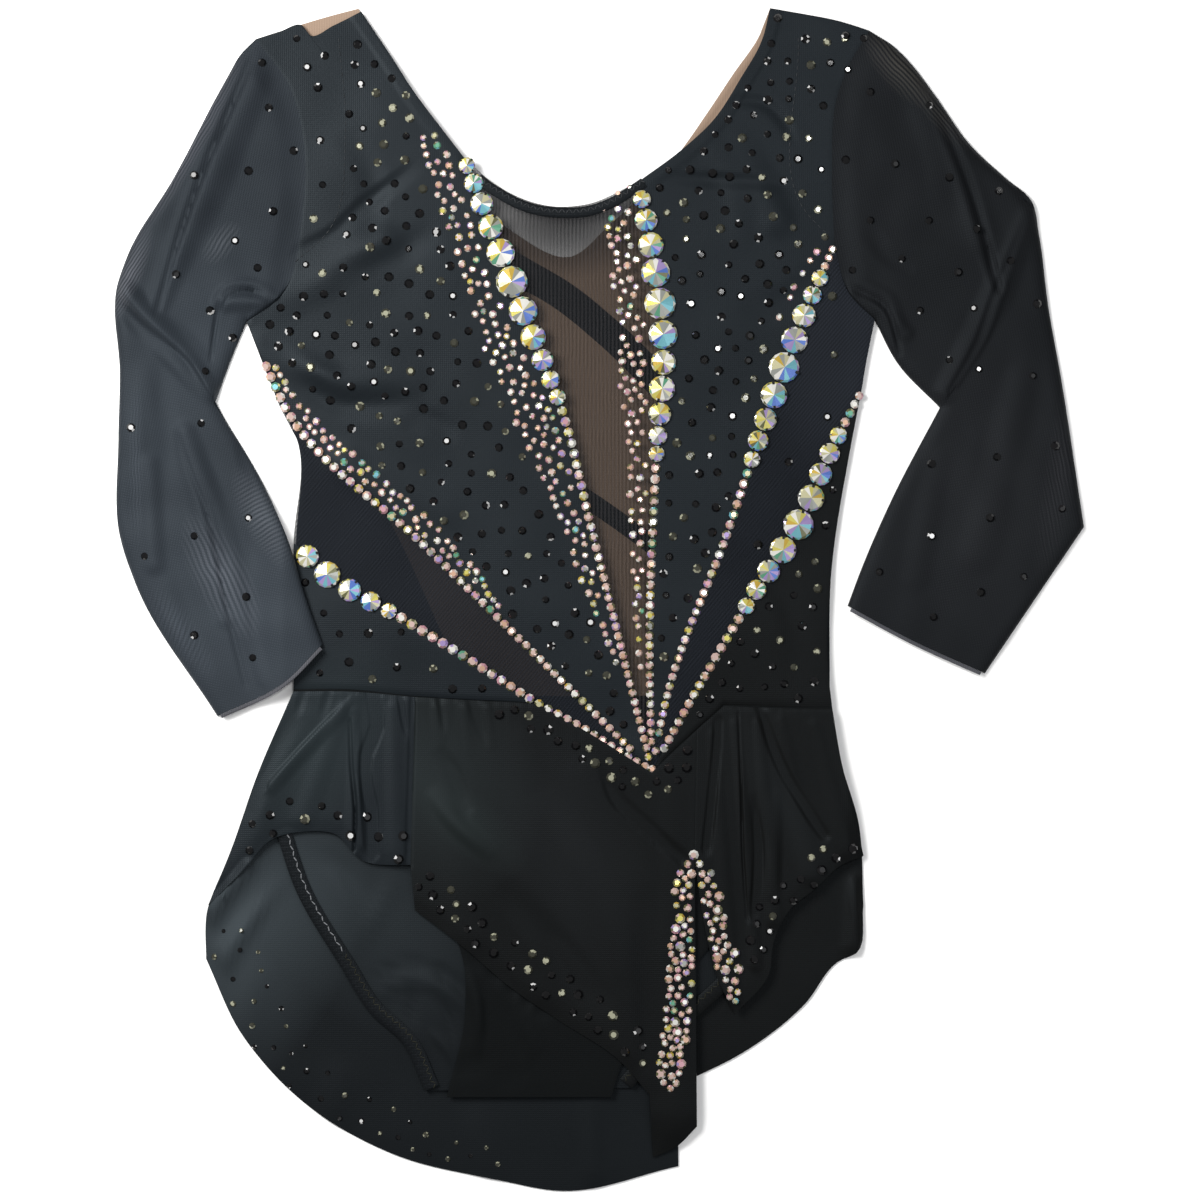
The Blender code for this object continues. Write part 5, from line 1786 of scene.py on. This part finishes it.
def stones(grids, materials):
    """All stones, laid out from the large ones to the smallest."""
    rng = np.random.default_rng(STONE_SEED)
    layout = Layout()
    ends = lay_large(layout)
    lay_rows(layout, ends)
    lay_clouds(layout, grids, rng)
    lay_bands(layout, grids, rng)
    lay_panels(layout, grids, rng)
    lay_sleeves(layout, rng)
    kinds = ["pearly", "jet", "smoke", "claws"] + [f"large_{letter}" for letter in LARGE_ROWS]
    meshes = {kind: StoneMesh() for kind in kinds}
    for (kind, _, _, diameter, _), place in zip(layout.stones, layout.settled()):
        spin = rng.uniform(0, 2 * math.pi)
        tilt = rng.normal(0, 0.05, 2)
        if kind.startswith("large"):
            points, faces, numbers = large_stone(diameter, spin, rng)
            claws(meshes["claws"], place, diameter, rng)
            tilt = tilt * 0.4
        else:
            points, faces = small_stone(diameter)
            if kind == "pearly":
                numbers = small_colours(rng)
            else:
                # Some facets of a dark stone take the pale look: painted highlights
                numbers = [int(rng.random() < DARK_LOOKS[kind][2]) for _ in faces]
        meshes[kind].add(points, faces, numbers, place, spin, tilt)
    facets = [materials[name] for name in FACET_ORDER]
    for letter in LARGE_ROWS:
        row = meshes[f"large_{letter}"].build(f"large_stones_{letter}", facets)
        dress(row, "crystal_iridescent", f"crystals_ray_{letter}")
    small = meshes["pearly"].build("small_stones", facets)
    loose = [small]
    for kind, (plain, highlight_look, _) in DARK_LOOKS.items():
        loose.append(meshes[kind].build(f"{kind}_stones", [materials[plain], materials[highlight_look]]))
    loose.append(meshes["claws"].build("stone_claws", [materials["setting"]]))
    for obj in loose:
        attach(obj, "root")


# Stitching

def add_stitches(mesh, line, top, length, gap, width, zigzag=0.0, lift=0.12):
    """Short threads along a line, leaning left and right in turn for a zigzag."""
    along = distances_along(line)
    points = np.array([
        (-length / 2, 0, 0), (-length / 4, -width / 2, 0), (length / 4, -width / 2, 0), (length / 2, 0, 0),
        (length / 4, width / 2, 0), (-length / 4, width / 2, 0), (-length / 4, 0, width * 0.7),
        (length / 4, 0, width * 0.7),
    ])
    faces = [
        (0, 5, 4, 3, 2, 1), (0, 1, 6), (1, 2, 7, 6), (2, 3, 7), (3, 4, 7), (4, 5, 6, 7), (5, 0, 6),
    ]
    at = np.arange(gap, along[-1] - gap, gap + length * math.cos(zigzag))
    x, y = (np.interp(at, along, line[:, k]) for k in (0, 1))
    ahead_x, ahead_y = (np.interp(at + 0.5, along, line[:, k]) for k in (0, 1))
    heading = np.arctan2(ahead_y - y, ahead_x - x)
    places = settle(top, x, y)
    places[:, 2] += lift
    for k, place in enumerate(places):
        turn = zigzag if k % 2 else -zigzag
        mesh.add(points, faces, [0] * 7, place, heading[k] + turn)


def stitching(materials):
    """Stitches of the armhole linings, the neck binding and both leg bindings."""
    seams, highlit, legs = StoneMesh(), StoneMesh(), StoneMesh()
    left_casing = sampled([(-116, 249), (-113, 207), (-120, 164), (-136, 149)], 80)
    right_casing = sampled([(88, 249), (92, 171), (102, 161)], 80)
    for line in (left_casing, right_casing):
        add_stitches(seams, line, bodice_top, 2.2, 0.9, 0.35)
    binding = beside(sampled(NECK_BINDING, 90), 0.6)

    def on_neck_binding(x, y):
        return bodice_top(x, y) + 0.9
    add_stitches(seams, binding, on_neck_binding, 2.4, 0.1, 0.4, 0.9)
    left = beside(sampled(LEG_LEFT, 160), 1.4)
    right = beside(sampled(LEG_RIGHT, 160), -1.4)
    # The upper part of the left leg's stitches is pale: a painted highlight; the rest of the same stitches
    # are dark
    add_stitches(highlit, left[:78], leg_binding_top, 2.6, 0.2, 0.45, 0.35, 0.4)
    for line in (left[78:], right):
        add_stitches(legs, line, leg_binding_top, 2.6, 0.15, 0.4, 0.8, 0.4)
    sewn = {
        "stitching": (seams, "thread"),
        "stitching_painted_highlight": (highlit, "thread_painted_highlight"),
        "stitching_legs": (legs, "smoke"),
    }
    for name, (mesh, kind) in sewn.items():
        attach(mesh.build(name, [materials[kind]]), "root")


# Stage

def make_floor():
    mesh = bpy.data.meshes.new("floor")
    corners = [(-1, -1), (1, -1), (1, 1), (-1, 1)]
    mesh.from_pydata([(FLOOR_HALF * x, FLOOR_HALF * y, FLOOR_LEVEL) for x, y in corners], [], [(0, 1, 2, 3)])
    material, _ = new_material("floor", (0.98, 0.98, 0.98), 0.9)
    mesh.materials.append(material)
    floor = bpy.data.objects.new("floor", mesh)
    bpy.context.scene.collection.objects.link(floor)


def make_light(name, place, size, power, colour):
    light = bpy.data.lights.new(name, "AREA")
    light.shape = "SQUARE"
    light.size = size
    light.energy = power
    light.color = colour
    obj = bpy.data.objects.new(name, light)
    obj.location = place
    direction = -np.array(place)
    obj.rotation_euler = (
        math.atan2(math.hypot(direction[0], direction[1]), -direction[2]), 0.0,
        math.atan2(direction[1], direction[0]) - math.pi / 2,
    )
    bpy.context.scene.collection.objects.link(obj)


def make_lights():
    for name, look in LIGHTS.items():
        make_light(name, *look)
    world = bpy.data.worlds.new("studio")
    world.use_nodes = True
    background = world.node_tree.nodes["Background"]
    background.inputs["Color"].default_value = (1.0, 1.0, 1.0, 1.0)
    background.inputs["Strength"].default_value = WORLD_STRENGTH
    bpy.context.scene.world = world
    bpy.context.scene.view_settings.view_transform = "Standard"


def make_camera():
    data = bpy.data.cameras.new("camera")
    data.sensor_width = SENSOR_WIDTH
    data.lens = CAMERA_LENS
    camera = bpy.data.objects.new("camera", data)
    camera.location = (*CAMERA_AT, CAMERA_HEIGHT)
    bpy.context.scene.collection.objects.link(camera)
    bpy.context.scene.camera = camera


def main():
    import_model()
    make_camera()
    materials = make_materials()
    back_panels(materials)
    grids = back_skirt(materials)
    briefs(materials)
    grids.update(front_skirt(materials))
    grids.update(front_panels(materials))
    for side in SLEEVES:
        sleeve(side, materials)
    stones(grids, materials)
    stitching(materials)
    make_floor()
    make_lights()


main()
